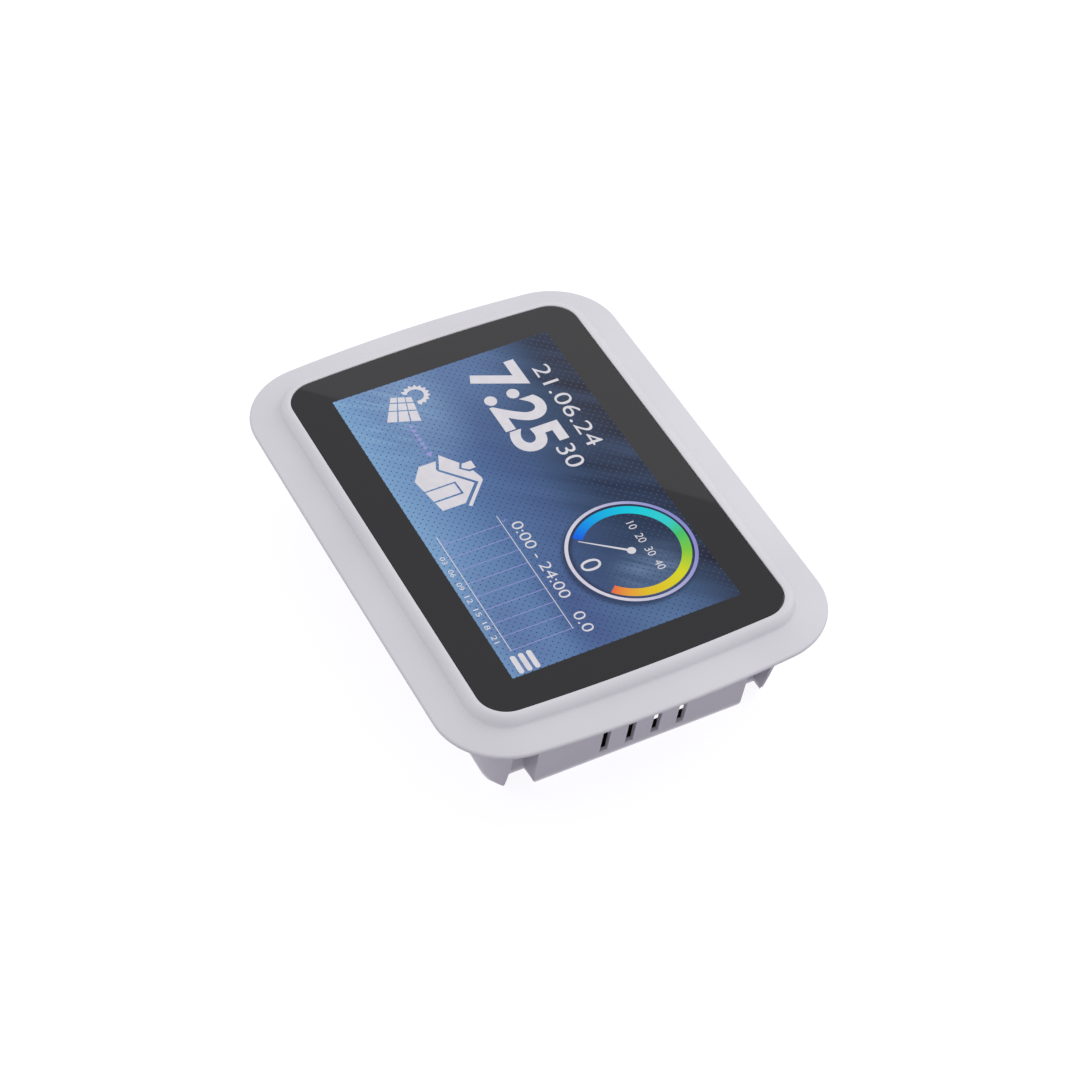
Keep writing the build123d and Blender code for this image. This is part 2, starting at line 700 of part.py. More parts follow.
def corner_wings(inset=0, low=0.0, high=HOUSING_TOP_Z):
    """Curved wings at the corners: what a tapered envelope leaves beyond the ends of the box."""
    sections = []
    for z in (low, high):
        grow = WING_TAPER * z - inset
        plan = RectangleRounded(2 * (WING_HALF_X + grow), 2 * (BOX_HALF_Y + grow), WING_RADIUS - inset)
        sections.append(Pos(0, 0, z) * plan)
    envelope = loft(sections, ruled=True)
    far = 2 * WING_HALF_X
    wings = []
    for x, y in corners(1, 1):
        span_x = sorted((x * (BOX_HALF_X + inset), x * far))
        span_y = sorted((y * (WING_START_Y + inset), y * far))
        wings.append(envelope & span_block(span_x, span_y, (low - MARGIN, high + MARGIN)))
    return Part() + wings


def blunt_tips(wings):
    """The wings with the upright edges of their thin ends taken off."""
    curved = wings.edges().filter_by(GeomType.BSPLINE)
    tips = [edge for edge in curved if math.isclose(abs(edge.center().Y), WING_START_Y, abs_tol=0.001)]
    return chamfer(tips, WING_TIP_FLAT)


def screw_columns():
    """Columns for the case screws, tied to the walls by ribs."""
    columns = rods(COLUMN_R, COLUMN_LOW_Z, BOARD_UNDER_Z, corners(COLUMN_X, COLUMN_Y))
    z = (COLUMN_LOW_Z, BOARD_UNDER_Z - COLUMN_RIB_DROP)
    half = COLUMN_RIB / 2
    for x, y in corners(COLUMN_X, COLUMN_Y):
        reach_x = sorted((x, math.copysign(BOX_HALF_X - WALL / 2, x)))
        reach_y = sorted((y, math.copysign(BOX_HALF_Y - WALL / 2, y)))
        columns += span_block(reach_x, (y - half, y + half), z)
        columns += span_block((x - half, x + half), reach_y, z)
    return columns


def vent_slots():
    """Upright slots through the faces of both end blocks."""
    slots = []
    for i in range(VENT_COUNT):
        y = VENT_CENTRE_Y + (i - (VENT_COUNT - 1) / 2) * VENT_PITCH
        for side in (-1, 1):
            x = sorted(side * reach for reach in VENT_REACH)
            slots.append(span_block(x, (y - VENT_WIDTH / 2, y + VENT_WIDTH / 2), VENT_Z))
    return Part() + slots


def catch_windows():
    """Recesses inside the long walls that the catches of the wall plate click into."""
    windows = []
    inner = BOX_HALF_Y - WALL
    half = CATCH_WINDOW_WIDE / 2
    for x, y in corners(CATCH_X, 1):
        reach = sorted((y * (inner - MARGIN), y * (inner + BARB_OUT + BARB_ROOM)))
        windows.append(span_block((x - half, x + half), reach, (BARB_Z[0] - BARB_ROOM, BARB_Z[1] + BARB_ROOM)))
    return Part() + windows


def make_rear_housing():
    top = HOUSING_TOP_Z + MARGIN
    places = corners(COLUMN_X, COLUMN_Y)
    housing = slab(box_outline(), 0, HOUSING_TOP_Z) + end_blocks() + blunt_tips(corner_wings())
    housing -= slab(box_outline(WALL), -MARGIN, top)
    housing -= end_blocks(WALL, BLOCK_FACE_WALL, -MARGIN, top)
    housing -= corner_wings(WALL, WING_HOLLOW_Z, top)
    housing += screw_columns()
    housing -= rods(COUNTERBORE_R, -MARGIN, SCREW_SEAT_Z, places)
    housing -= rods(SCREW_CLEAR_R, SCREW_SEAT_Z - MARGIN, BOARD_TOP_Z, places)
    housing -= vent_slots()
    return housing - catch_windows()


def plate_catch(x, side):
    """One upright catch of the wall plate, with its barb facing the long wall."""
    outer = BOX_HALF_Y - WALL - PLATE_GAP
    with BuildSketch(Plane.YZ) as profile:
        with BuildLine():
            Polyline(
                (outer - CATCH_THICK, PLATE_THICK / 2),
                (outer, PLATE_THICK / 2),
                (outer, BARB_Z[0]),
                (outer + BARB_OUT, BARB_Z[0] + BARB_LEAD),
                (outer, BARB_Z[1]),
                (outer, CATCH_TOP_Z),
                (outer - CATCH_THICK, CATCH_TOP_Z),
                close=True,
            )
        make_face()
    catch = extrude(profile.sketch, amount=CATCH_WIDE / 2, both=True)
    if side < 0:
        catch = mirror(catch, about=Plane.XZ)
    return Pos(x, 0, 0) * catch


def make_wall_plate():
    plan = box_outline(WALL + PLATE_GAP)
    face = BLOCK_FACE_X - BLOCK_FACE_WALL - PLATE_GAP
    plan += Rectangle(2 * face, 2 * (BLOCK_HALF_Y - WALL - PLATE_GAP))
    opening = RectangleRounded(CABLE_X[1] - CABLE_X[0], CABLE_Y[1] - CABLE_Y[0], CABLE_CORNER)
    plan -= Pos(sum(CABLE_X) / 2, sum(CABLE_Y) / 2) * opening
    for x in (-PLATE_SCREW_SPAN / 2, PLATE_SCREW_SPAN / 2):
        plan -= Pos(x, 0) * Circle(PLATE_SCREW_R)
    plan -= Pos(*RESET_AT) * Circle(RESET_HOLE_R)
    plate = slab(plan, 0, PLATE_THICK)
    for x, side in corners(CATCH_X, 1):
        plate += plate_catch(x, side)
    return plate


NODES = {
    "front_bezel": make_front_bezel,
    "touch_glass": make_touch_glass,
    "glass_adhesive": make_glass_adhesive,
    "backlight_tray": make_backlight_tray,
    "light_guide": make_light_guide,
    "lcd_cell": make_lcd_cell,
    "display_bracket": make_display_bracket,
    "bracket_screws": make_bracket_screws,
    "display_flex": make_display_flex,
    "display_connector": make_display_connector,
    "touch_flex": make_touch_flex,
    "touch_connector": make_touch_connector,
    "main_board": make_main_board,
    "board_standoffs": make_board_standoffs,
    "case_screws": make_case_screws,
    "processor": make_processor,
    "thermal_pad": make_thermal_pad,
    "heat_sink": make_heat_sink,
    "memory_chips": make_memory_chips,
    "wireless_module": make_wireless_module,
    "shield_can": make_shield_can,
    "antenna": make_antenna,
    "coin_cell_holder": make_coin_cell_holder,
    "coin_cell": make_coin_cell,
    "buzzer": make_buzzer,
    "capacitors": make_capacitors,
    "power_inductor": make_power_inductor,
    "power_chips": make_power_chips,
    "fuse": make_fuse,
    "ethernet_jack": make_ethernet_jack,
    "terminal_block": make_terminal_block,
    "terminal_screws": make_terminal_screws,
    "service_port": make_service_port,
    "reset_switch": make_reset_switch,
    "reset_button": make_reset_button,
    "rear_housing": make_rear_housing,
    "wall_plate": make_wall_plate,
}

os.makedirs("parts", exist_ok=True)
for name, make in NODES.items():
    export_step(make(), f"parts/{name}.step")
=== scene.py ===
"""Looks for the solar monitoring gateway: finishes, the lit screen, fine parts, light and camera.

Metres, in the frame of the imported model: +Z is the way the screen faces, +X runs along it and +Y
up it, and the origin is the centre of the rear face. Sizes are written in millimetres and scaled.
"""

import bmesh
import bpy
import math
from mathutils import Matrix, Vector
from mathutils.geometry import tessellate_polygon


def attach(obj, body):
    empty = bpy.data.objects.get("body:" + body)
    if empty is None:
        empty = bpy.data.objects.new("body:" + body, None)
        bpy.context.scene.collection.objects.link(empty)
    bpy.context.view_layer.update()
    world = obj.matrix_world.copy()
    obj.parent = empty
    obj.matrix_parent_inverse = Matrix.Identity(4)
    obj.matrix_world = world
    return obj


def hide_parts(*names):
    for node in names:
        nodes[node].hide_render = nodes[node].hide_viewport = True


MM = 0.001

# The photograph's camera, solved from the outline of the screen
CAMERA_AT = Vector((490.26, -241.37, 580.13)) * MM
CAMERA_AIM = Vector((3.17, 1.36, 19.11)) * MM
CAMERA_ROLL = math.radians(0.126)
CAMERA_LENS = 100.0
CAMERA_SENSOR = 36.0

# Cover glass: half sizes, corner radius, outward bow of its ends and sides, all at its edge
GLASS_HALF = (65.2, 42.1)
GLASS_RADIUS = 8.0
GLASS_END_BOW = 1.4
GLASS_SIDE_BOW = 0.02
GLASS_FACE_Z = 33.3
GLASS_THICK = 1.1
GLASS_EDGE = 0.2

# Bezel: measures run outward from the edge of the glass, drops downward from the glass face
END_BOW_GROWTH = 0.196
SIDE_BOW_GROWTH = 0.016
BEZEL_UNDER_Z = 28.14
EDGE_ROUND = 0.7
EDGE_CENTRE = (10.94, 4.46)
FLANGE_SLOPE = 10.0
LIP_FOOT = ((3.6, 2.47), (3.3, 2.41), (3.15, 1.77))
LIP_CENTRE = (0.45, 2.45)
LIP_REACH = (2.8, 2.6)
LIP_INNER_ROUND = 0.2
GLASS_GAP = 0.1
LEDGE_DROP = 1.3
OPENING_HALF = (59.5, 37.0)
POCKET_OUT = (4.4, 9.2)
POCKET_DEPTH = 0.9
POCKET_PITCH = 15.0
POCKET_RIB = 1.2
POCKETS_LONG = 7
POCKETS_SHORT = 4
PILOT_AT = (62.3, 20.0)
PILOT_R = 1.15
PILOT_DEPTH = 2.9

# Rear housing: where its blocks, vents and wings stand, and how round their lower corners are
BLOCK_BACK_X = 56.3
BLOCK_END_Y = 29.5
BLOCK_INNER_X = 60.5
BLOCK_TAPER = 0.225
VENT_COUNT = 4
VENT_PITCH = 7.2
VENT_WIDTH = 2.2
VENT_CENTRE_Y = 0.6
VENT_Z = (2.9, 23.0)
COLLAR_WALL = 0.6
COLLAR_DEPTH = 0.3
WING_START_Y = 36.5
CORNER_ROUND = 1.0
TIP_ROUND = 1.2
ROUND_STEPS = 4
REAR_COLOUR = (212, 208, 219)

# How close two places count as one, how close points are welded, and how far along Y an edge at
# the wing's foot has to reach to count as leading to its tip
NEAR = 0.01
WELD = 0.0001
TIP_EDGE = 0.3

# The lit window in the glass, with millimetres from its centre for everything shown in it
WINDOW_HALF = (54.6, 31.75)
WINDOW_CENTRE = (0.05, 0.14)
WINDOW_RADIUS = 0.3
SIGN_SINK = 0.01
SIGN_RISE = 0.01
LATTICE_PITCH = 2.18
LATTICE_TURNS = math.pi / (LATTICE_PITCH * MM)
GAUGE_AT = (29.0, 14.2)
GAUGE_HALF = (17.75, 16.8)
GAUGE_RING = 0.95
CHART_LINE = 0.2
FINE_WEIGHT = -0.004

# Floor and light: the floor's glow where it is seen directly, its gap below the object, its half
# size, its hole under the cable entry, and how short a ray passes it; then the surround's level on
# the object, the radiance of the mirrored panel, and the point in metres that the lamps look at
FLOOR_LIFT = 0.88
FLOOR_GAP = 0.1
FLOOR_HALF = 6000.0
CABLE_HOLE = ((31.5, 6.0), (56.3, 23.0))
CONTACT_REACH = 1.6
SURROUND_LEVEL = 0.8
PANEL_RADIANCE = 0.69
LAMP_AIM = (0, 0, 0.02)

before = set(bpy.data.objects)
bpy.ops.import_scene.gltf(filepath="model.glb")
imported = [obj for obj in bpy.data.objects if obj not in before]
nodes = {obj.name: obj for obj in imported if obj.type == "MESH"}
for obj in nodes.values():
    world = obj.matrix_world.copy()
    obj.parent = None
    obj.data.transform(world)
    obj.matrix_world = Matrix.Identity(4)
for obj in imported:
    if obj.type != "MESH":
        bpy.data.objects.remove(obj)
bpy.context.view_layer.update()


def srgb(red, green, blue):
    """A colour given as it looks on a screen, from 0 to 255, as linear light."""
    return tuple(
        (c / 255 / 12.92) if c / 255 <= 0.04045 else ((c / 255 + 0.055) / 1.055) ** 2.4
        for c in (red, green, blue)
    )


def scaled(colour, factor):
    return tuple(min(1.0, c * factor) for c in colour)


class Paint:
    """A Principled material, with short calls that add nodes and join them."""

    def __init__(self, name, colour, roughness=0.5, **settings):
        self.material = bpy.data.materials.new(name)
        self.material.use_nodes = True
        self.tree = self.material.node_tree
        self.surface = self.tree.nodes["Principled BSDF"]
        self.feed(self.surface, {"Base Color": (*colour, 1), "Roughness": roughness})
        self.feed(self.surface, {k.replace("_", " "): v for k, v in settings.items()})
        self.coordinates = self.tree.nodes.new("ShaderNodeTexCoord").outputs["Object"]

    def feed(self, node, values):
        """Sets a node's inputs, by name or number, from plain values or from other nodes' outputs."""
        for key, value in values.items():
            if isinstance(value, bpy.types.NodeSocket):
                self.tree.links.new(value, node.inputs[key])
            else:
                node.inputs[key].default_value = value

    def add(self, kind, values=None, **properties):
        node = self.tree.nodes.new("ShaderNode" + kind)
        for key, value in properties.items():
            setattr(node, key, value)
        self.feed(node, values or {})
        return node

    def calc(self, operation, *values):
        """The result of a Math node."""
        return self.add("Math", dict(enumerate(values)), operation=operation).outputs[0]

    def noise(self, scale, detail=2.0, at=None, roughness=0.5):
        values = {"Scale": scale, "Detail": detail, "Roughness": roughness}
        values["Vector"] = at or self.coordinates
        return self.add("TexNoise", values).outputs["Fac"]

    def stretched(self, x, y, z):
        """The coordinates multiplied on each axis, so that a pattern runs along the smallest."""
        values = {0: self.coordinates, 1: (x, y, z)}
        return self.add("VectorMath", values, operation="MULTIPLY").outputs[0]

    def cells(self, scale, at=None):
        """The distance from the middles of scattered cells."""
        values = {"Scale": scale, "Vector": at or self.coordinates}
        return self.add("TexVoronoi", values).outputs["Distance"]

    def axes(self):
        return self.add("SeparateXYZ", {0: self.coordinates}).outputs

    def span(self, value, low, high, to_low=0.0, to_high=1.0, smooth=False):
        """value spread from low..high to to_low..to_high and held there."""
        node = self.add("MapRange", {"Value": value, "From Min": low, "From Max": high})
        self.feed(node, {"To Min": to_low, "To Max": to_high})
        node.interpolation_type = "SMOOTHSTEP" if smooth else "LINEAR"
        return node.outputs[0]

    def mix(self, factor, first, second, blend="MIX"):
        """A colour between two colours, each a triple or an output."""
        node = self.add("Mix", data_type="RGBA", blend_type=blend)
        for key, value in (("Factor_Float", factor), ("A_Color", first), ("B_Color", second)):
            found = [s for s in node.inputs if s.identifier == key][0]
            if isinstance(value, bpy.types.NodeSocket):
                self.tree.links.new(value, found)
            else:
                found.default_value = value if key == "Factor_Float" else (*value, 1)
        return [s for s in node.outputs if s.identifier == "Result_Color"][0]

    def ramp(self, factor, stops):
        """A colour from a list of (place, colour) stops."""
        node = self.add("ValToRGB", {"Fac": factor})
        elements = node.color_ramp.elements
        while len(elements) < len(stops):
            elements.new(0.5)
        for element, (place, colour) in zip(elements, stops):
            element.position = place
            element.color = (*colour, 1)
        return node.outputs["Color"]

    def bump(self, height, distance, strength=1.0, edge=0.0):
        """Surface relief from a height, over edges softened to a radius if edge is given."""
        node = self.add("Bump", {"Height": height, "Distance": distance, "Strength": strength})
        if edge:
            soft = self.add("Bevel", {"Radius": edge}, samples=4).outputs[0]
            self.feed(node, {"Normal": soft})
        self.feed(self.surface, {"Normal": node.outputs[0]})

    def colour(self, value):
        self.feed(self.surface, {"Base Color": value})

    def roughness(self, value):
        self.feed(self.surface, {"Roughness": value})


def moulded_plastic(name, colour, roughness=0.5, grain=0.006 * MM, edge=0.25 * MM):
    """Injection-moulded plastic: a fine spark-eroded grain, faint flow clouds and softened edges."""
    paint = Paint(name, colour, roughness, IOR=1.46)
    cloud = paint.noise(28.0, 3.0)
    speck = paint.noise(2600.0, 1.0)
    paint.colour(paint.mix(paint.span(cloud, 0.35, 0.65), scaled(colour, 0.965), scaled(colour, 1.02)))
    paint.roughness(paint.span(speck, 0.3, 0.7, roughness - 0.05, roughness + 0.06))
    paint.bump(paint.noise(3400.0, 2.0, roughness=0.6), grain, 0.7, edge)
    return paint.material


def worked_metal(name, colour, roughness=0.35, grain=(60.0, 900.0, 900.0), blotch=0.1):
    """Bare or plated metal: drawn lines along one axis, cloudy plating and a few darker stains."""
    paint = Paint(name, colour, roughness, Metallic=1.0)
    lines = paint.noise(1.0, 3.0, paint.stretched(*grain))
    clouds = paint.noise(160.0, 4.0)
    tone = paint.mix(paint.span(clouds, 0.3, 0.7), scaled(colour, 1 - blotch), scaled(colour, 1 + blotch / 2))
    stain = paint.span(paint.noise(45.0, 5.0), 0.6, 0.75, 0.0, 0.35)
    paint.colour(paint.mix(stain, tone, scaled(colour, 0.6)))
    paint.roughness(paint.span(lines, 0.25, 0.75, roughness - 0.1, roughness + 0.12))
    paint.bump(lines, 0.01 * MM, 0.6, 0.1 * MM)
    return paint.material


def turned_metal(name, colour, roughness=0.3):
    """Lathe-turned metal: fine rings one above another along Z."""
    paint = Paint(name, colour, roughness, Metallic=1.0)
    rings = paint.calc("SINE", paint.calc("MULTIPLY", paint.axes()[2], 2 * math.pi / (0.12 * MM)))
    tarnish = paint.span(paint.noise(300.0, 4.0), 0.4, 0.75)
    paint.colour(paint.mix(tarnish, colour, scaled(colour, 0.72)))
    paint.roughness(paint.span(rings, -1.0, 1.0, roughness - 0.06, roughness + 0.1))
    paint.bump(rings, 0.006 * MM, 0.8)
    return paint.material


def circuit_board(name):
    """Solder mask over rows of copper tracks, with tinned vias scattered between them."""
    mask, track = srgb(22, 92, 52), srgb(46, 128, 74)
    paint = Paint(name, mask, 0.38, IOR=1.5)
    lanes = paint.add(
        "TexBrick",
        {"Vector": paint.coordinates, "Scale": 170.0, "Mortar Size": 0.05, "Mortar Smooth": 0.1},
        offset=0.37,
    ).outputs["Fac"]
    paths = paint.calc("MULTIPLY", lanes, paint.span(paint.noise(55.0, 2.0), 0.45, 0.5))
    dots = paint.cells(420.0)
    groups = paint.span(paint.noise(90.0), 0.5, 0.55)
    via = paint.calc("MULTIPLY", paint.span(dots, 0.1, 0.14, 1.0, 0.0), groups)
    paint.colour(paint.mix(via, paint.mix(paths, mask, track), srgb(190, 186, 170)))
    paint.roughness(paint.span(paint.noise(800.0), 0.3, 0.7, 0.3, 0.45))
    relief = paint.calc("ADD", paths, via)
    paint.bump(relief, 0.035 * MM)
    return paint.material


def film_cable(name):
    """A flat cable: copper conductors that show through amber film."""
    film, copper = srgb(196, 118, 30), srgb(146, 70, 22)
    paint = Paint(name, film, 0.28, IOR=1.6)
    wave = paint.calc("SINE", paint.calc("MULTIPLY", paint.axes()[0], 2 * math.pi / (0.5 * MM)))
    conductor = paint.span(wave, -0.15, 0.15)
    tone = paint.mix(conductor, film, copper)
    paint.colour(paint.mix(paint.span(paint.noise(500.0, 3.0), 0.4, 0.7, 0.0, 0.3), tone, srgb(225, 150, 60)))
    paint.bump(conductor, 0.02 * MM)
    return paint.material


def soft_sheet(name, colour, cell):
    """Foam or silicone: open pores over a soft, dull body."""
    paint = Paint(name, colour, 0.9, IOR=1.4)
    pores = paint.cells(1 / (cell * MM))
    # The pores' pits are painted darker: painted shade inside them, with the body between them lighter.
    paint.colour(paint.mix(paint.span(pores, 0.1, 0.6), scaled(colour, 0.6), scaled(colour, 1.25)))
    paint.roughness(paint.span(paint.noise(900.0), 0.3, 0.7, 0.8, 0.97))
    paint.bump(pores, 0.05 * MM, 0.8)
    return paint.material


def moulded_package(name, colour, roughness=0.55):
    """Epoxy or nylon of electronic parts: a coarse matt skin with dust."""
    paint = Paint(name, colour, roughness, IOR=1.5)
    dust = paint.span(paint.noise(700.0, 5.0, roughness=0.7), 0.52, 0.8)
    paint.colour(paint.mix(dust, colour, scaled(colour, 1.7)))
    paint.roughness(paint.span(paint.noise(1500.0, 2.0), 0.3, 0.7, roughness - 0.1, roughness + 0.12))
    paint.bump(paint.noise(2200.0, 3.0), 0.012 * MM, 0.8, 0.12 * MM)
    return paint.material


def light_guide(name):
    """Milky acrylic with the printed dots that scatter its light."""
    paint = Paint(name, srgb(228, 231, 236), 0.2, IOR=1.49)
    dots = paint.span(paint.cells(900.0), 0.2, 0.3, 1.0, 0.0)
    haze = paint.mix(paint.span(paint.noise(40.0, 3.0), 0.3, 0.7), srgb(220, 224, 231), srgb(233, 235, 239))
    paint.colour(paint.mix(dots, haze, srgb(250, 250, 251)))
    paint.roughness(paint.span(dots, 0.0, 1.0, 0.16, 0.6))
    return paint.material


def display_cell(name):
    """The edge and back of the display: dark polarised film over a fine grid of points."""
    paint = Paint(name, srgb(52, 62, 84), 0.15, IOR=1.5)
    x, y, _ = paint.axes()
    grid = paint.calc("MAXIMUM", *(
        paint.calc("SINE", paint.calc("MULTIPLY", axis, 2 * math.pi / (0.14 * MM))) for axis in (x, y)
    ))
    paint.colour(paint.mix(paint.span(grid, 0.2, 0.9), srgb(56, 66, 90), srgb(34, 40, 56)))
    paint.roughness(paint.span(paint.noise(90.0, 4.0), 0.4, 0.7, 0.1, 0.24))
    return paint.material


def printed_glass(name):
    """The glass over its dark print: smooth, with a low mirror from its coating."""
    paint = Paint(name, (0.021, 0.0205, 0.023), 0.05, IOR=1.5, Specular_IOR_Level=0.208)
    smear = paint.noise(60.0, 4.0)
    paint.roughness(paint.span(smear, 0.4, 0.75, 0.012, 0.03))
    paint.colour(paint.mix(paint.noise(900.0), (0.0195, 0.019, 0.0218), (0.0225, 0.022, 0.0248)))
    return paint.material


def lit_surface(name):
    """The start of a material for lit points of the display, seen through the same glass."""
    return Paint(name, (0.0, 0.0, 0.0), 0.05, IOR=1.5, Specular_IOR_Level=0.12)


def lit_sign(name, colour):
    """Lit points of the display in one colour, a little uneven."""
    paint = lit_surface(name)
    light = paint.mix(paint.span(paint.noise(420.0, 2.0), 0.35, 0.65), scaled(colour, 0.94), colour)
    paint.feed(paint.surface, {"Emission Color": light, "Emission Strength": 1.0})
    return paint.material


def lit_ring(name):
    """The gauge's rim: lilac above, going white below."""
    paint = lit_surface(name)
    high = paint.axes()[1]
    rise = paint.span(high, (GAUGE_AT[1] - 9.0) * MM, (GAUGE_AT[1] + 14.0) * MM)
    tint = paint.mix(rise, srgb(214, 209, 222), srgb(140, 142, 204))
    light = paint.mix(paint.span(paint.noise(500.0), 0.3, 0.7, 0.0, 0.12), tint, srgb(96, 98, 150))
    paint.feed(paint.surface, {"Emission Color": light, "Emission Strength": 1.0})
    return paint.material


def wallpaper(name):
    """The lit background: soft blue fields, faint streaks, and a diamond lattice of fine dots."""
    paint = lit_surface(name)
    x, y, _ = paint.axes()

    def distance(centre, reach):
        """How far off a centre a point is, in parts of a reach along each axis, in millimetres."""
        dx = paint.calc("SUBTRACT", x, centre[0] * MM)
        dy = paint.calc("SUBTRACT", y, centre[1] * MM)
        far_x = paint.calc("DIVIDE", dx, reach[0] * MM)
        far_y = paint.calc("DIVIDE", dy, reach[1] * MM)
        squares = paint.calc("ADD", paint.calc("POWER", far_x, 2.0), paint.calc("POWER", far_y, 2.0))
        return paint.calc("SQRT", squares)

    def field(centre, reach, core=0.0):
        """1 at a centre, fading smoothly to 0 at a reach."""
        return paint.span(distance(centre, reach), core, 1.0, 1.0, 0.0, smooth=True)

    rise = paint.span(y, -WINDOW_HALF[1] * MM, WINDOW_HALF[1] * MM)
    light = paint.ramp(rise, (
        (0.0, srgb(122, 160, 198)),
        (0.1, srgb(110, 145, 188)),
        (0.3, srgb(82, 112, 159)),
        (0.52, srgb(66, 89, 133)),
        (0.78, srgb(42, 63, 93)),
        (1.0, srgb(28, 31, 48)),
    ))
    for centre, reach, colour in (
        ((56, 12), (24, 22), srgb(80, 107, 148)),
        ((42, -24), (40, 14), srgb(90, 116, 162)),
        ((42, -7), (30, 9), srgb(66, 84, 132)),
        ((4, 24), (34, 22), srgb(26, 38, 64)),
        ((-54, 2), (30, 26), srgb(88, 114, 157)),
        ((-46, -14), (36, 16), srgb(116, 143, 182)),
        ((-34, 34), (40, 16), srgb(36, 38, 54)),
    ):
        light = paint.mix(field(centre, reach), light, colour)

    # Streaks run from lower left to upper right.
    along = paint.calc("ADD", paint.calc("MULTIPLY", x, 0.66), paint.calc("MULTIPLY", y, 0.75))
    across = paint.calc("SUBTRACT", paint.calc("MULTIPLY", x, 0.75), paint.calc("MULTIPLY", y, 0.66))
    place = paint.add("CombineXYZ", {0: paint.calc("MULTIPLY", along, 0.12), 1: across}).outputs[0]
    streak = paint.span(paint.noise(170.0, 3.0, place), 0.35, 0.7, 0.0, 0.14)
    light = paint.mix(streak, light, srgb(104, 140, 190))
    thin = paint.span(paint.noise(620.0, 2.0, place), 0.5, 0.66, 0.0, 0.3)
    left = paint.calc("MULTIPLY", thin, field((-46, -22), (40, 24)))
    light = paint.mix(left, light, srgb(150, 192, 222))

    # The gauge's face is a shade darker, with a paler cloud towards its right.
    inside = field(GAUGE_AT, GAUGE_HALF, 0.97)
    face = paint.mix(0.35, light, srgb(30, 46, 74))
    wisp = paint.span(paint.noise(150.0, 4.0, place, 0.6), 0.38, 0.58, 0.3, 1.0, smooth=True)
    cloud = paint.calc("MULTIPLY", field((GAUGE_AT[0] + 9, GAUGE_AT[1] + 2), (13, 15)), wisp)
    light = paint.mix(inside, light, paint.mix(cloud, face, srgb(108, 132, 168)))

    # The lattice: dots in rows half a pitch apart, each row shifted by half a pitch.
    turn_x = paint.calc("MULTIPLY", paint.calc("ADD", x, y), LATTICE_TURNS)
    turn_y = paint.calc("MULTIPLY", paint.calc("SUBTRACT", x, y), LATTICE_TURNS)
    waves = paint.calc("MULTIPLY", paint.calc("COSINE", turn_x), paint.calc("COSINE", turn_y))
    dot = paint.span(paint.calc("ABSOLUTE", waves), 0.88, 0.985, 0.0, 0.95, smooth=True)
    grey = paint.add("RGBToBW", {0: light}).outputs[0]
    dot_colour = paint.mix(paint.span(grey, 0.03, 0.1), srgb(84, 88, 120), srgb(36, 46, 92))
    light = paint.mix(dot, light, dot_colour)

    # The gauge's rim throws a soft shadow to its lower right and on its own face.
    shade = field((GAUGE_AT[0] + 0.9, GAUGE_AT[1] - 0.9), [h + 1.3 for h in GAUGE_HALF], 0.9)
    outside = paint.calc("SUBTRACT", 1.0, inside)
    cast = paint.calc("MULTIPLY", shade, paint.calc("MULTIPLY", outside, 0.6))
    light = paint.mix(cast, light, srgb(20, 26, 52))
    off = distance((GAUGE_AT[0] + 0.3, GAUGE_AT[1] + 0.3), GAUGE_HALF)
    rim = paint.calc("MULTIPLY", paint.span(off, 0.86, 0.96, 0.0, 0.7, smooth=True), inside)
    light = paint.mix(rim, light, srgb(26, 30, 56))
    paint.feed(paint.surface, {"Emission Color": light, "Emission Strength": 1.0})
    return paint.material


def rainbow(name):
    """The gauge's scale: colour by the angle round the hub, from blue clockwise to red."""
    paint = lit_surface(name)
    x, y, _ = paint.axes()
    dx = paint.calc("SUBTRACT", x, (GAUGE_AT[0] + WINDOW_CENTRE[0]) * MM)
    dy = paint.calc("SUBTRACT", y, (GAUGE_AT[1] + WINDOW_CENTRE[1]) * MM)
    # The angle from straight down, so that the seam lies in the scale's gap.
    angle = paint.calc("ARCTAN2", paint.calc("MULTIPLY", dx, -1.0), paint.calc("MULTIPLY", dy, -1.0))
    turn = paint.span(angle, -math.pi, math.pi)
    whole = paint.calc("FRACT", paint.calc("ADD", turn, 0.5))
    stops = (
        (0.12, srgb(0, 90, 225)),
        (0.22, srgb(0, 165, 225)),
        (0.34, srgb(0, 200, 215)),
        (0.44, srgb(50, 200, 200)),
        (0.50, srgb(66, 190, 100)),
        (0.57, srgb(120, 196, 60)),
        (0.66, srgb(212, 210, 30)),
        (0.78, srgb(222, 186, 36)),
        (0.84, srgb(228, 150, 56)),
        (0.89, srgb(226, 84, 66)),
    )
    paint.feed(paint.surface, {"Emission Color": paint.ramp(whole, stops), "Emission Strength": 1.0})
    return paint.material


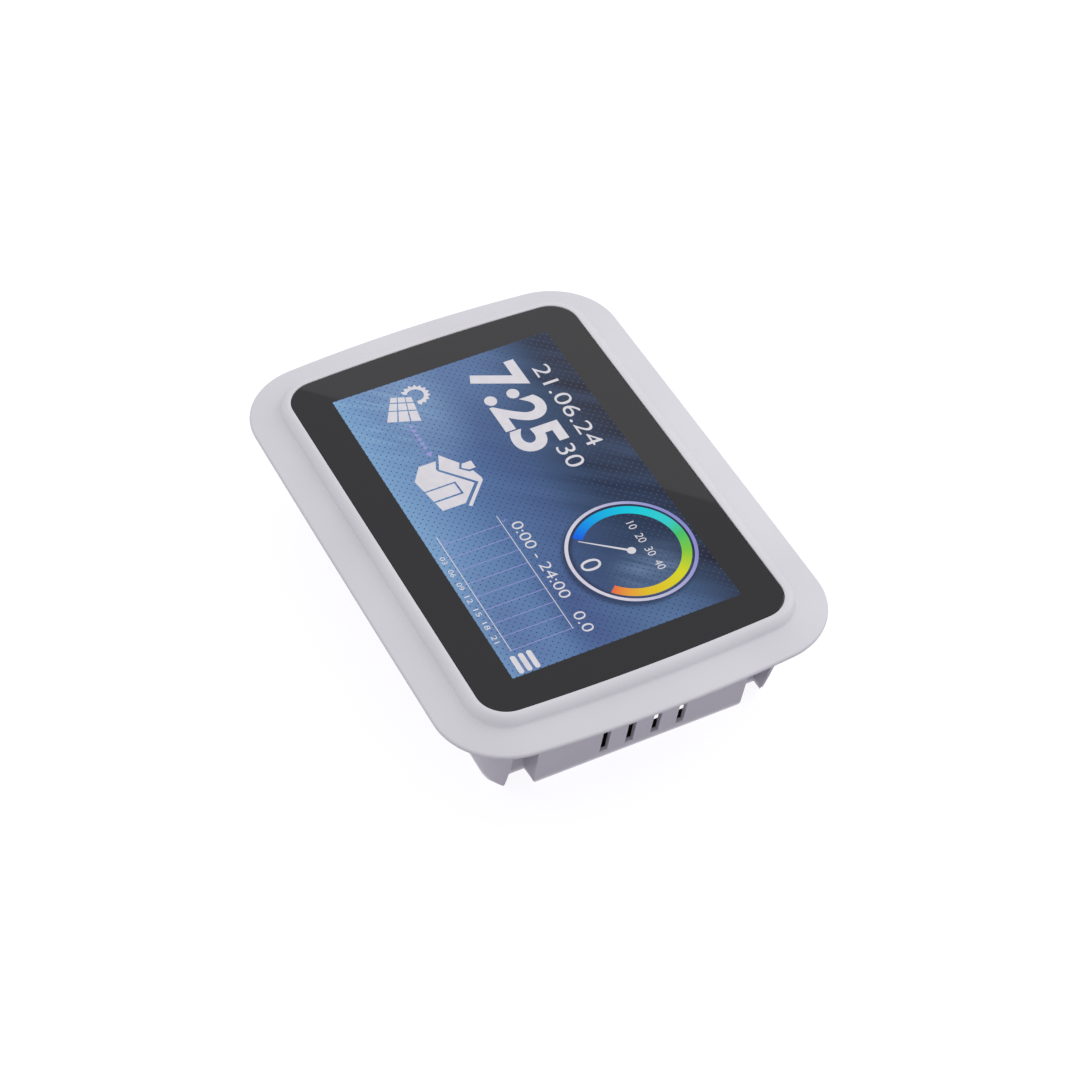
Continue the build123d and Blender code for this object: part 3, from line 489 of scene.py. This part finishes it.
def outline(out, per_end=28, per_corner=18, per_side=24):
    """The glass outline grown outward: bowed ends and sides joined by tangent round corners."""
    half = [h + out for h in GLASS_HALF]
    bows = (GLASS_END_BOW + END_BOW_GROWTH * out, GLASS_SIDE_BOW + SIDE_BOW_GROWTH * max(out, 0))
    x, y = half[0] - bows[0], half[1] - bows[1]
    end_radius = (bows[0] ** 2 + y**2) / (2 * bows[0])
    side_radius = (bows[1] ** 2 + x**2) / (2 * bows[1])
    end_centre = Vector((half[0] - end_radius, 0))
    side_centre = Vector((0, half[1] - side_radius))
    radius = GLASS_RADIUS + out
    # The corner's centre is inside both bows by the corner's own radius.
    near, far = end_radius - radius, side_radius - radius
    between = side_centre - end_centre
    gap = between.length
    step = (near**2 - far**2 + gap**2) / (2 * gap)
    rise = math.sqrt(near**2 - step**2)
    unit = between / gap
    corner = end_centre + unit * step + Vector((-unit.y, unit.x)) * -rise
    if corner.x < 0 or corner.y < 0:
        corner = end_centre + unit * step + Vector((-unit.y, unit.x)) * rise
    low = math.atan2(*(corner - end_centre).yx)
    high = math.atan2(*(corner - side_centre).yx)
    quarter = []
    for i in range(per_end):
        a = low * i / per_end
        quarter.append(end_centre + end_radius * Vector((math.cos(a), math.sin(a))))
    for i in range(per_corner + 1):
        a = low + (high - low) * i / per_corner
        quarter.append(corner + radius * Vector((math.cos(a), math.sin(a))))
    for i in range(1, per_side + 1):
        a = high + (math.pi / 2 - high) * i / per_side
        quarter.append(side_centre + side_radius * Vector((math.cos(a), math.sin(a))))
    top = quarter + [Vector((-p.x, p.y)) for p in reversed(quarter[:-1])]
    return [tuple(p) for p in top + [Vector((p.x, -p.y)) for p in reversed(top[1:-1])]]


def rounded_rectangle(half_x, half_y, radius, steps=6, centre=(0, 0)):
    points = []
    for k, (sx, sy) in enumerate(((1, 1), (-1, 1), (-1, -1), (1, -1))):
        for i in range(steps + 1):
            a = math.pi / 2 * (k + i / steps)
            x = sx * (half_x - radius) + radius * math.cos(a)
            y = sy * (half_y - radius) + radius * math.sin(a)
            points.append((centre[0] + x, centre[1] + y))
    return points


def circle(centre, half, steps=96):
    """A closed ellipse as a list of points; half is a radius or a pair of half sizes."""
    rx, ry = half if isinstance(half, (tuple, list)) else (half, half)
    turns = [2 * math.pi * i / steps for i in range(steps)]
    return [(centre[0] + rx * math.cos(a), centre[1] + ry * math.sin(a)) for a in turns]


def arc_band(centre, half, thick, start, end, steps=72):
    """A band along part of an ellipse, between two angles in degrees."""
    angles = [math.radians(start + (end - start) * i / steps) for i in range(steps + 1)]
    outer = [(centre[0] + half[0] * math.cos(a), centre[1] + half[1] * math.sin(a)) for a in angles]
    inner = [
        (centre[0] + (half[0] - thick) * math.cos(a), centre[1] + (half[1] - thick) * math.sin(a))
        for a in reversed(angles)
    ]
    return outer + inner


def bar(start, end, width, steps=6, square=False):
    """A straight bar from point to point, with round or square ends."""
    x0, y0 = start
    x1, y1 = end
    facing = math.atan2(y1 - y0, x1 - x0)
    r = width / 2
    if square:
        nx, ny = -math.sin(facing) * r, math.cos(facing) * r
        return [(x0 + nx, y0 + ny), (x0 - nx, y0 - ny), (x1 - nx, y1 - ny), (x1 + nx, y1 + ny)]
    points = []
    for i in range(steps + 1):
        a = facing + math.pi / 2 + math.pi * i / steps
        points.append((x0 + r * math.cos(a), y0 + r * math.sin(a)))
    for i in range(steps + 1):
        a = facing - math.pi / 2 + math.pi * i / steps
        points.append((x1 + r * math.cos(a), y1 + r * math.sin(a)))
    return points


def finish_piece(name, mesh_data, material, body="unit", smooth=None):
    """A mesh object from bmesh data, in its material, riding on a body."""
    bmesh.ops.recalc_face_normals(mesh_data, faces=mesh_data.faces)
    mesh = bpy.data.meshes.new(name)
    mesh_data.to_mesh(mesh)
    mesh_data.free()
    piece = bpy.data.objects.new(name, mesh)
    bpy.context.scene.collection.objects.link(piece)
    mesh.materials.append(material)
    if smooth is not None:
        mesh.shade_smooth()
        mesh.set_sharp_from_angle(angle=math.radians(smooth))
    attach(piece, body)
    return piece


def ring_wall(data, lower, upper):
    """Faces between two closed rings of vertices with the same count."""
    count = len(lower)
    for i in range(count):
        j = (i + 1) % count
        data.faces.new((lower[i], lower[j], upper[j], upper[i]))


def add_ring(data, points, z):
    return [data.verts.new((x * MM, y * MM, z * MM)) for x, y in points]


def fill_between(data, rings):
    """Flat faces inside the first ring of vertices and outside the others."""
    verts = [v for ring in rings for v in ring]
    for a, b, c in tessellate_polygon([[v.co for v in ring] for ring in rings]):
        data.faces.new((verts[a], verts[b], verts[c]))


def add_slab(data, loops, low, high):
    """A closed plate: the first loop is its outline and the others are holes in it."""
    lower = [add_ring(data, loop, low) for loop in loops]
    upper = [add_ring(data, loop, high) for loop in loops]
    fill_between(data, lower)
    fill_between(data, upper)
    for a, b in zip(lower, upper):
        ring_wall(data, a, b)


def pocket_loops():
    """The shallow pockets under the flange, with a rib between each two."""
    middle = sum(POCKET_OUT) / 2
    half_wide = (POCKET_OUT[1] - POCKET_OUT[0]) / 2
    half_long = (POCKET_PITCH - POCKET_RIB) / 2
    loops = []
    for side in (-1, 1):
        for i in range(POCKETS_LONG):
            at = ((i - (POCKETS_LONG - 1) / 2) * POCKET_PITCH, side * (GLASS_HALF[1] + middle))
            loops.append(rounded_rectangle(half_long, half_wide, 0.4, 2, at))
        for i in range(POCKETS_SHORT):
            y = (i - (POCKETS_SHORT - 1) / 2) * POCKET_PITCH
            bow = GLASS_END_BOW * (y / GLASS_HALF[1]) ** 2
            at = (side * (GLASS_HALF[0] + middle - bow), y)
            loops.append(rounded_rectangle(half_wide, half_long, 0.4, 2, at))
    return loops


def bezel_profile():
    """Points (outward measure, drop) from the flange's underside over its edge and lip to the ledge."""
    points = []
    turn = 90 - FLANGE_SLOPE
    for i in range(11):
        a = math.radians(-90 + (90 + turn) * i / 10)
        points.append((EDGE_CENTRE[0] + EDGE_ROUND * math.cos(a), EDGE_CENTRE[1] - EDGE_ROUND * math.sin(a)))
    start, bend, end = (Vector(p) for p in LIP_FOOT)
    for i in range(7):
        t = i / 6
        points.append(tuple(start * (1 - t) ** 2 + bend * 2 * t * (1 - t) + end * t**2))
    for angle in range(24, 91, 6):
        a = math.radians(angle)
        out = LIP_CENTRE[0] + LIP_REACH[0] * math.cos(a)
        points.append((out, LIP_CENTRE[1] - LIP_REACH[1] * math.sin(a)))
    crest = LIP_CENTRE[1] - LIP_REACH[1]
    for i in range(5):
        a = math.radians(90 + 90 * i / 4)
        out = GLASS_GAP + LIP_INNER_ROUND * (1 + math.cos(a))
        points.append((out, crest + LIP_INNER_ROUND * (1 - math.sin(a))))
    return points + [(GLASS_GAP, LEDGE_DROP)]


def make_bezel():
    """The bezel with its rounded edge and lip in fine sections, and pockets under its flange."""
    data = bmesh.new()
    rings = [add_ring(data, outline(out), GLASS_FACE_Z - drop) for out, drop in bezel_profile()]
    for lower, upper in zip(rings, rings[1:]):
        ring_wall(data, lower, upper)
    opening = rounded_rectangle(*OPENING_HALF, 0.3, 2)
    ledge = add_ring(data, opening, GLASS_FACE_Z - LEDGE_DROP)
    under = add_ring(data, opening, BEZEL_UNDER_Z)
    fill_between(data, [rings[-1], ledge])
    ring_wall(data, ledge, under)
    sinks = [(loop, POCKET_DEPTH) for loop in pocket_loops()]
    for x in (-PILOT_AT[0], PILOT_AT[0]):
        for y in (-PILOT_AT[1], PILOT_AT[1]):
            sinks.append((circle((x, y), PILOT_R, 20), PILOT_DEPTH))
    mouths = []
    for loop, depth in sinks:
        mouth = add_ring(data, loop, BEZEL_UNDER_Z)
        floor = add_ring(data, loop, BEZEL_UNDER_Z + depth)
        ring_wall(data, mouth, floor)
        fill_between(data, [floor])
        mouths.append(mouth)
    fill_between(data, [rings[0], under, *mouths])
    paint = moulded_plastic("bezel_plastic", srgb(212, 210, 217), 0.48)
    bezel = finish_piece("moulded_bezel", data, paint, smooth=34)
    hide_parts("front_bezel")


def add_vent_collar(data, side, y):
    """A short sleeve behind one vent, which leans with the face of its block."""
    rings = []
    for grown, depth in ((COLLAR_WALL, 0), (COLLAR_WALL, COLLAR_DEPTH), (0, COLLAR_DEPTH), (0, 0)):
        low, high = VENT_Z[0] - grown, VENT_Z[1] + grown
        half = VENT_WIDTH / 2 + grown
        ring = []
        for across, z in ((y - half, low), (y + half, low), (y + half, high), (y - half, high)):
            x = side * (BLOCK_INNER_X + BLOCK_TAPER * z - depth)
            ring.append(data.verts.new((x * MM, across * MM, z * MM)))
        rings.append(ring)
    for first, second in zip(rings, rings[1:] + rings[:1]):
        ring_wall(data, first, second)


def lower_edges(data):
    """The housing's lower edges to round: those at its blocks' ends, and those at its wings' tips."""
    corners, tips = [], []
    for edge in data.edges:
        (x, y, z), (x2, y2, z2) = (v.co / MM for v in edge.verts)
        if max(z, z2) > NEAR or min(abs(x), abs(x2)) < BLOCK_BACK_X - NEAR:
            continue
        # Of the edges that start at the wing's foot, only those whose first end is the outer one
        # are rounded.
        leads_to_tip = abs(abs(y) - abs(y2)) > TIP_EDGE and abs(y) - WING_START_Y > TIP_EDGE
        if abs(y - y2) < NEAR and abs(abs(y) - BLOCK_END_Y) < NEAR:
            corners.append(edge)
        elif min(abs(y), abs(y2)) > WING_START_Y + NEAR or leads_to_tip:
            tips.append(edge)
    return corners, tips


def round_edges(data, edges, radius):
    """Rounds those of the edges that an earlier rounding has left."""
    left = [e for e in edges if e.is_valid]
    bmesh.ops.bevel(data, geom=left, offset=radius * MM, segments=ROUND_STEPS, profile=0.5, affect="EDGES")


def make_housing():
    """The rear housing with vent collars, round corners on its blocks and round tips on its wings."""
    source = nodes["rear_housing"].data.copy()
    if "custom_normal" in source.attributes:
        source.attributes.remove(source.attributes["custom_normal"])
    data = bmesh.new()
    data.from_mesh(source)
    bpy.data.meshes.remove(source)
    bmesh.ops.remove_doubles(data, verts=data.verts, dist=WELD * MM)
    bmesh.ops.dissolve_limit(data, angle_limit=math.radians(0.5), verts=data.verts, edges=data.edges)
    corners, tips = lower_edges(data)
    round_edges(data, corners, CORNER_ROUND)
    round_edges(data, tips, TIP_ROUND)
    for side in (-1, 1):
        for i in range(VENT_COUNT):
            add_vent_collar(data, side, VENT_CENTRE_Y + (i - (VENT_COUNT - 1) / 2) * VENT_PITCH)
    paint = moulded_plastic("rear_plastic", srgb(*REAR_COLOUR))
    housing = finish_piece("moulded_housing", data, paint, smooth=30)
    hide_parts("rear_housing")


def sign(name, shapes, material, lift=0.0):
    """Thin lit shapes on the window, each a list of loops in millimetres from its centre."""
    data = bmesh.new()
    for loops in shapes:
        moved = [[(x + WINDOW_CENTRE[0], y + WINDOW_CENTRE[1]) for x, y in loop] for loop in loops]
        add_slab(data, moved, GLASS_FACE_Z - SIGN_SINK, GLASS_FACE_Z + SIGN_RISE + lift)
    return finish_piece(name, data, material)


def make_glass():
    """The cover glass as two flush pieces: its dark printed border and its lit window."""
    low, high = GLASS_FACE_Z - GLASS_THICK, GLASS_FACE_Z
    window = rounded_rectangle(*WINDOW_HALF, WINDOW_RADIUS, centre=WINDOW_CENTRE)
    data = bmesh.new()
    rings = [add_ring(data, outline(0), low), add_ring(data, outline(0), high - GLASS_EDGE)]
    rings.append(add_ring(data, outline(-GLASS_EDGE * 0.3), high - GLASS_EDGE * 0.3))
    rings.append(add_ring(data, outline(-GLASS_EDGE), high))
    for lower, upper in zip(rings, rings[1:]):
        ring_wall(data, lower, upper)
    inner_low, inner_high = add_ring(data, window, low), add_ring(data, window, high)
    fill_between(data, [rings[0], inner_low])
    fill_between(data, [rings[-1], inner_high])
    ring_wall(data, inner_low, inner_high)
    border = finish_piece("glass_border", data, printed_glass("printed_glass"), smooth=12)

    data = bmesh.new()
    add_slab(data, [window], low, high)
    lit = finish_piece("lit_window", data, wallpaper("wallpaper"))
    for piece in (border, lit):
        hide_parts("touch_glass")


def figures(name, text, left, base, high, material, weight=0.0, width=None):
    """Plain figures: left edge, base line and height of the digits in millimetres."""
    curve = bpy.data.curves.new(name, "FONT")
    curve.body = text
    curve.size = 1.0
    curve.offset = weight
    curve.extrude = 0.5
    curve.resolution_u = 6
    writer = bpy.data.objects.new(name + "_writer", curve)
    bpy.context.scene.collection.objects.link(writer)
    depsgraph = bpy.context.evaluated_depsgraph_get()
    mesh = bpy.data.meshes.new_from_object(writer.evaluated_get(depsgraph))
    bpy.data.objects.remove(writer)
    bpy.data.curves.remove(curve)
    data = bmesh.new()
    data.from_mesh(mesh)
    bpy.data.meshes.remove(mesh)
    bmesh.ops.remove_doubles(data, verts=data.verts, dist=1e-6)
    xs = [v.co.x for v in data.verts]
    ys = [v.co.y for v in data.verts]
    scale = high / (max(ys) - min(ys))
    stretch = width / (max(xs) - min(xs)) if width else scale
    middle = GLASS_FACE_Z + (SIGN_RISE - SIGN_SINK) / 2
    for v in data.verts:
        v.co.x = (WINDOW_CENTRE[0] + left + (v.co.x - min(xs)) * stretch) * MM
        v.co.y = (WINDOW_CENTRE[1] + base + (v.co.y - min(ys)) * scale) * MM
        v.co.z = (middle + v.co.z * (SIGN_RISE + SIGN_SINK)) * MM
    return finish_piece(name, data, material)


def make_screen():
    """Everything lit on the window: plain figures, a gauge, pictograms, a chart and menu bars."""
    white = lit_sign("lit_white", srgb(216, 213, 220))
    lilac = lit_sign("lit_lilac", srgb(150, 150, 210))
    figures("time_figures", "7:25", -48.7, 4.3, 14.6, white, 0.03, 34.6)
    figures("date_figures", "21.06.24", -43.3, 21.6, 4.6, white, FINE_WEIGHT, 34.0)
    figures("second_figures", "30", -12.9, 13.5, 5.0, white, FINE_WEIGHT, 8.6)
    figures("gauge_reading", "0", GAUGE_AT[0] - 2.0, 0.0, 5.4, white, -0.006, 3.9)
    figures("gauge_numbers", "10  20  30  40", GAUGE_AT[0] - 9.1, 17.3, 2.2, white, FINE_WEIGHT, 18.2)
    figures("chart_figures", "0:00 - 24:00   0.0", 6.9, -9.2, 3.0, white, FINE_WEIGHT, 42.0)

    inner = [h - GAUGE_RING for h in GAUGE_HALF]
    sign("gauge_ring", [[circle(GAUGE_AT, GAUGE_HALF), circle(GAUGE_AT, inner)]], lit_ring("lit_rim"))
    sign("gauge_scale", [[arc_band(GAUGE_AT, (15.95, 15.25), 2.65, 229, -48)]], rainbow("rainbow"))
    hub = Vector(GAUGE_AT)
    tip = hub + Vector((-8.8, -10.7))
    side = Vector((0.77, -0.64))
    needle = [hub - side * 0.36, tip - side * 0.12, tip + side * 0.12, hub + side * 0.36]
    sign("gauge_needle", [[[tuple(p) for p in needle]], [circle(GAUGE_AT, 1.18, 32)]], white, 0.005)

    low, high = -28.1, -11.1
    sign("chart_lines", [[bar((2.9, y), (46.3, y), CHART_LINE, square=True)] for y in (low, high)], white)
    uprights = [6.2 + 4.99 * i for i in range(9)]
    lines = [[bar((x, low - 0.7), (x, high + 0.4), CHART_LINE, square=True)] for x in uprights]
    sign("chart_uprights", lines, lilac)
    for i, x in enumerate(uprights[1:8]):
        figures(f"chart_hour_{i + 1}", f"{3 * (i + 1):02d}", x - 1.3, -30.7, 1.45, white, width=2.6)
    figures("chart_top", "5", 4.9, -10.6, 1.2, lilac)
    figures("chart_foot", "0", 4.9, -27.7, 1.2, lilac)
    sign("menu_bars", [[bar((48.5, y), (53.4, y), 1.42)] for y in (-24.4, -26.6, -28.8)], white)
    make_pictograms(white, lilac)


def panel_cells(corners, columns, rows, gap):
    """Cells of a panel seen at an angle: parts of the four-sided shape between corners."""
    top_left, top_right, low_right, low_left = (Vector(c) for c in corners)

    def place(u, v):
        return tuple(top_left.lerp(top_right, u).lerp(low_left.lerp(low_right, u), v))

    cells = []
    for u0, u1 in zip(columns, columns[1:]):
        for v0, v1 in zip(rows, rows[1:]):
            left, right = u0 + gap, u1 - gap
            high, low = v0 + gap, v1 - gap
            cells.append([place(left, high), place(right, high), place(right, low), place(left, low)])
    return cells


def make_pictograms(white, lilac):
    """A toothed sun behind a panel, dots that run to a house, and the house."""
    sun = Vector((-47.4, -10.8))
    # The panel hides the lower right of the sun, so its ring stops short on both sides.
    start, end = math.radians(-12), math.radians(240)
    teeth = 11
    rim = []
    for i in range(2 * teeth + 1):
        a = start + (end - start) * i / (2 * teeth)
        rim.append(sun + (4.1 if i % 2 else 3.25) * Vector((math.cos(a), math.sin(a))))
    for i in range(25):
        a = end + (start - end) * i / 24
        rim.append(sun + 2.3 * Vector((math.cos(a), math.sin(a))))
    sign("sun_sign", [[[tuple(p) for p in rim]]], white)
    corners = ((-47.4, -11.9), (-37.5, -13.3), (-41.0, -22.2), (-49.6, -17.2))
    cells = panel_cells(corners, (0.0, 0.24, 0.55, 1.0), (0.0, 0.32, 0.67, 1.0), 0.022)
    sign("panel_sign", [[cell] for cell in cells], white, 0.004)

    dots = [[circle((-36.9 + 1.8 * i, -16.9), 0.6, 20)] for i in range(6)]
    sign("flow_dots", dots + [[[(-26.0, -15.9), (-24.2, -16.9), (-26.0, -17.9)]]], lilac)

    chimney = [(-18.4, -8.2), (-15.6, -8.2), (-15.6, -10.0), (-17.0, -11.6), (-18.4, -10.9)]
    roof = [
        (-24.0, -15.0), (-18.9, -11.3), (-17.0, -12.3), (-14.9, -10.3), (-14.9, -9.3), (-11.6, -8.4),
        (-10.6, -8.5), (-3.1, -15.1), (-3.8, -15.8), (-10.5, -9.8), (-19.0, -17.1),
    ]
    walls = [
        (-22.2, -16.6), (-19.4, -17.8), (-18.6, -17.7), (-10.6, -10.9), (-4.9, -16.1), (-4.9, -22.6),
        (-8.3, -23.2), (-8.3, -15.0), (-13.2, -15.2), (-13.2, -24.0), (-17.6, -24.7), (-22.2, -21.5),
    ]
    door = [(-8.9, -15.6), (-8.9, -23.3), (-12.7, -23.9), (-12.7, -15.7)]
    sign("house_sign", [[shape] for shape in (chimney, roof, walls, door)], white)


def seen_directly(tree):
    """1 for a ray from the camera, or one mirrored or let through on its way, and otherwise 0."""
    path = tree.nodes.new("ShaderNodeLightPath").outputs
    seen = path["Is Camera Ray"]
    for kind in ("Is Glossy Ray", "Is Transmission Ray"):
        larger = tree.nodes.new("ShaderNodeMath")
        larger.operation = "MAXIMUM"
        tree.links.new(seen, larger.inputs[0])
        tree.links.new(path[kind], larger.inputs[1])
        seen = larger.outputs[0]
    return seen


def make_floor_clear_below(paint):
    """Opens the floor to views from beneath and to light for the face that rests on it."""
    below = paint.add("NewGeometry").outputs["Backfacing"]
    close = paint.calc("LESS_THAN", paint.add("LightPath").outputs["Ray Length"], CONTACT_REACH * MM)
    clear = paint.add("BsdfTransparent").outputs[0]
    factor = paint.calc("MAXIMUM", below, close)
    blend = paint.add("MixShader", {0: factor, 1: paint.surface.outputs[0], 2: clear})
    paint.feed(paint.tree.nodes["Material Output"], {"Surface": blend.outputs[0]})


def make_stage():
    """A pale floor that keeps the object's shadow, open under its cable entry, in a bright surround."""
    data = bmesh.new()
    edge = [(x * FLOOR_HALF, y * FLOOR_HALF) for x, y in ((1, 1), (-1, 1), (-1, -1), (1, -1))]
    (left, low), (right, high) = CABLE_HOLE
    hole = [(right, high), (left, high), (left, low), (right, low)]
    fill_between(data, [add_ring(data, edge, 0), add_ring(data, hole, 0)])
    bmesh.ops.recalc_face_normals(data, faces=data.faces)
    if sum(face.normal.z for face in data.faces) < 0:
        bmesh.ops.reverse_faces(data, faces=data.faces)
    mesh = bpy.data.meshes.new("floor")
    data.to_mesh(mesh)
    data.free()
    floor = bpy.data.objects.new("floor", mesh)
    bpy.context.scene.collection.objects.link(floor)
    paint = Paint("floor_paint", (0.18, 0.17, 0.235), 0.9)
    glow = paint.calc("MULTIPLY", seen_directly(paint.tree), FLOOR_LIFT)
    paint.feed(paint.surface, {"Emission Color": (1, 1, 1, 1), "Emission Strength": glow})
    make_floor_clear_below(paint)
    mesh.materials.append(paint.material)
    floor.location.z = -FLOOR_GAP * MM

    world = bpy.data.worlds.new("surround")
    bpy.context.scene.world = world
    world.use_nodes = True
    tree = world.node_tree
    light = tree.nodes["Background"]
    light.inputs["Color"].default_value = (1, 1, 1, 1)
    level = tree.nodes.new("ShaderNodeMapRange")
    level.inputs["To Min"].default_value = SURROUND_LEVEL
    level.inputs["To Max"].default_value = 1.0
    tree.links.new(seen_directly(tree), level.inputs["Value"])
    tree.links.new(level.outputs[0], light.inputs["Strength"])


def add_lamp(name, at, aim, size, power):
    """A soft rectangular lamp that looks from one point towards another."""
    data = bpy.data.lights.new(name, "AREA")
    data.shape = "RECTANGLE"
    data.size, data.size_y = size
    data.energy = power
    lamp = bpy.data.objects.new(name, data)
    turn = (Vector(aim) - Vector(at)).to_track_quat("-Z", "Y")
    lamp.matrix_world = Matrix.Translation(at) @ turn.to_matrix().to_4x4()
    bpy.context.scene.collection.objects.link(lamp)
    return lamp


def make_lights():
    add_lamp("key", (-0.14, 1.64, 0.97), LAMP_AIM, (1.0, 1.0), 10.0)
    add_lamp("left", (-1.37, -1.15, 0.65), LAMP_AIM, (1.0, 1.0), 2.5)
    side = add_lamp("side", (1.42, -0.3, 0.7), LAMP_AIM, (0.9, 0.6), 0.5)
    side.data.color = (0.97, 0.93, 1.0)
    # A pale panel that the glass mirrors: its near edge crosses the screen as a diagonal line.
    panel = add_lamp("panel", (-1.724, 1.026, 1.5), (-1.724, 1.026, 0), (1.6, 1.0), 0.0)
    across = Vector((-0.7404, -0.6721, 0))
    panel.matrix_world = Matrix.Translation(panel.location) @ Matrix.Rotation(
        math.atan2(across.y, across.x), 4, "Z"
    )
    panel.data.energy = PANEL_RADIANCE * math.pi * panel.data.size * panel.data.size_y


def make_camera():
    data = bpy.data.cameras.new("camera")
    data.lens = CAMERA_LENS
    data.sensor_width = CAMERA_SENSOR
    data.clip_start = 0.01
    camera = bpy.data.objects.new("camera", data)
    turn = (CAMERA_AIM - CAMERA_AT).to_track_quat("-Z", "Y").to_matrix().to_4x4()
    camera.matrix_world = Matrix.Translation(CAMERA_AT) @ turn @ Matrix.Rotation(CAMERA_ROLL, 4, "Z")
    bpy.context.scene.collection.objects.link(camera)
    bpy.context.scene.camera = camera


def coat_nodes():
    """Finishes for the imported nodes."""
    zinc = worked_metal("zinc_steel", srgb(168, 170, 172), 0.36)
    plated = worked_metal("nickel", srgb(182, 180, 176), 0.24, (900.0, 900.0, 60.0), 0.06)
    anodised = worked_metal("anodised", srgb(150, 152, 156), 0.42, (900.0, 50.0, 900.0), 0.05)
    epoxy = moulded_package("black_epoxy", srgb(40, 40, 43))
    film = film_cable("polyimide")
    plastic = moulded_plastic("housing_plastic", srgb(*REAR_COLOUR))
    finishes = (
        (plastic, "rear_housing", "reset_button", "front_bezel"),
        (moulded_plastic("black_plastic", srgb(38, 38, 40), 0.55), "wall_plate"),
        (printed_glass("bare_glass"), "touch_glass"),
        (soft_sheet("foam_tape", srgb(36, 36, 37), 0.25), "glass_adhesive"),
        (display_cell("display_cell"), "lcd_cell"),
        (light_guide("light_guide"), "light_guide"),
        (zinc, "backlight_tray", "display_bracket", "bracket_screws", "case_screws"),
        (zinc, "terminal_screws", "antenna"),
        (plated, "shield_can", "coin_cell", "service_port"),
        (turned_metal("brass", srgb(202, 168, 96)), "board_standoffs"),
        (film, "display_flex", "touch_flex"),
        (circuit_board("board"), "main_board", "wireless_module"),
        (epoxy, "processor", "memory_chips", "power_chips", "buzzer", "fuse", "ethernet_jack"),
        (epoxy, "coin_cell_holder", "power_inductor", "reset_switch"),
        (moulded_package("ivory_nylon", srgb(218, 212, 196), 0.45), "display_connector", "touch_connector"),
        (moulded_package("green_nylon", srgb(44, 132, 70), 0.42), "terminal_block"),
        (soft_sheet("silicone_pad", srgb(128, 142, 158), 0.4), "thermal_pad"),
        (anodised, "heat_sink", "capacitors"),
    )
    coated = [name for _, *names in finishes for name in names]
    assert sorted(coated) == sorted(nodes), set(nodes) ^ set(coated)
    for material, *names in finishes:
        for name in names:
            nodes[name].data.materials.clear()
            nodes[name].data.materials.append(material)


coat_nodes()
make_bezel()
make_housing()
make_glass()
make_screen()
make_stage()
make_lights()
make_camera()
bpy.context.scene.view_settings.view_transform = "Standard"
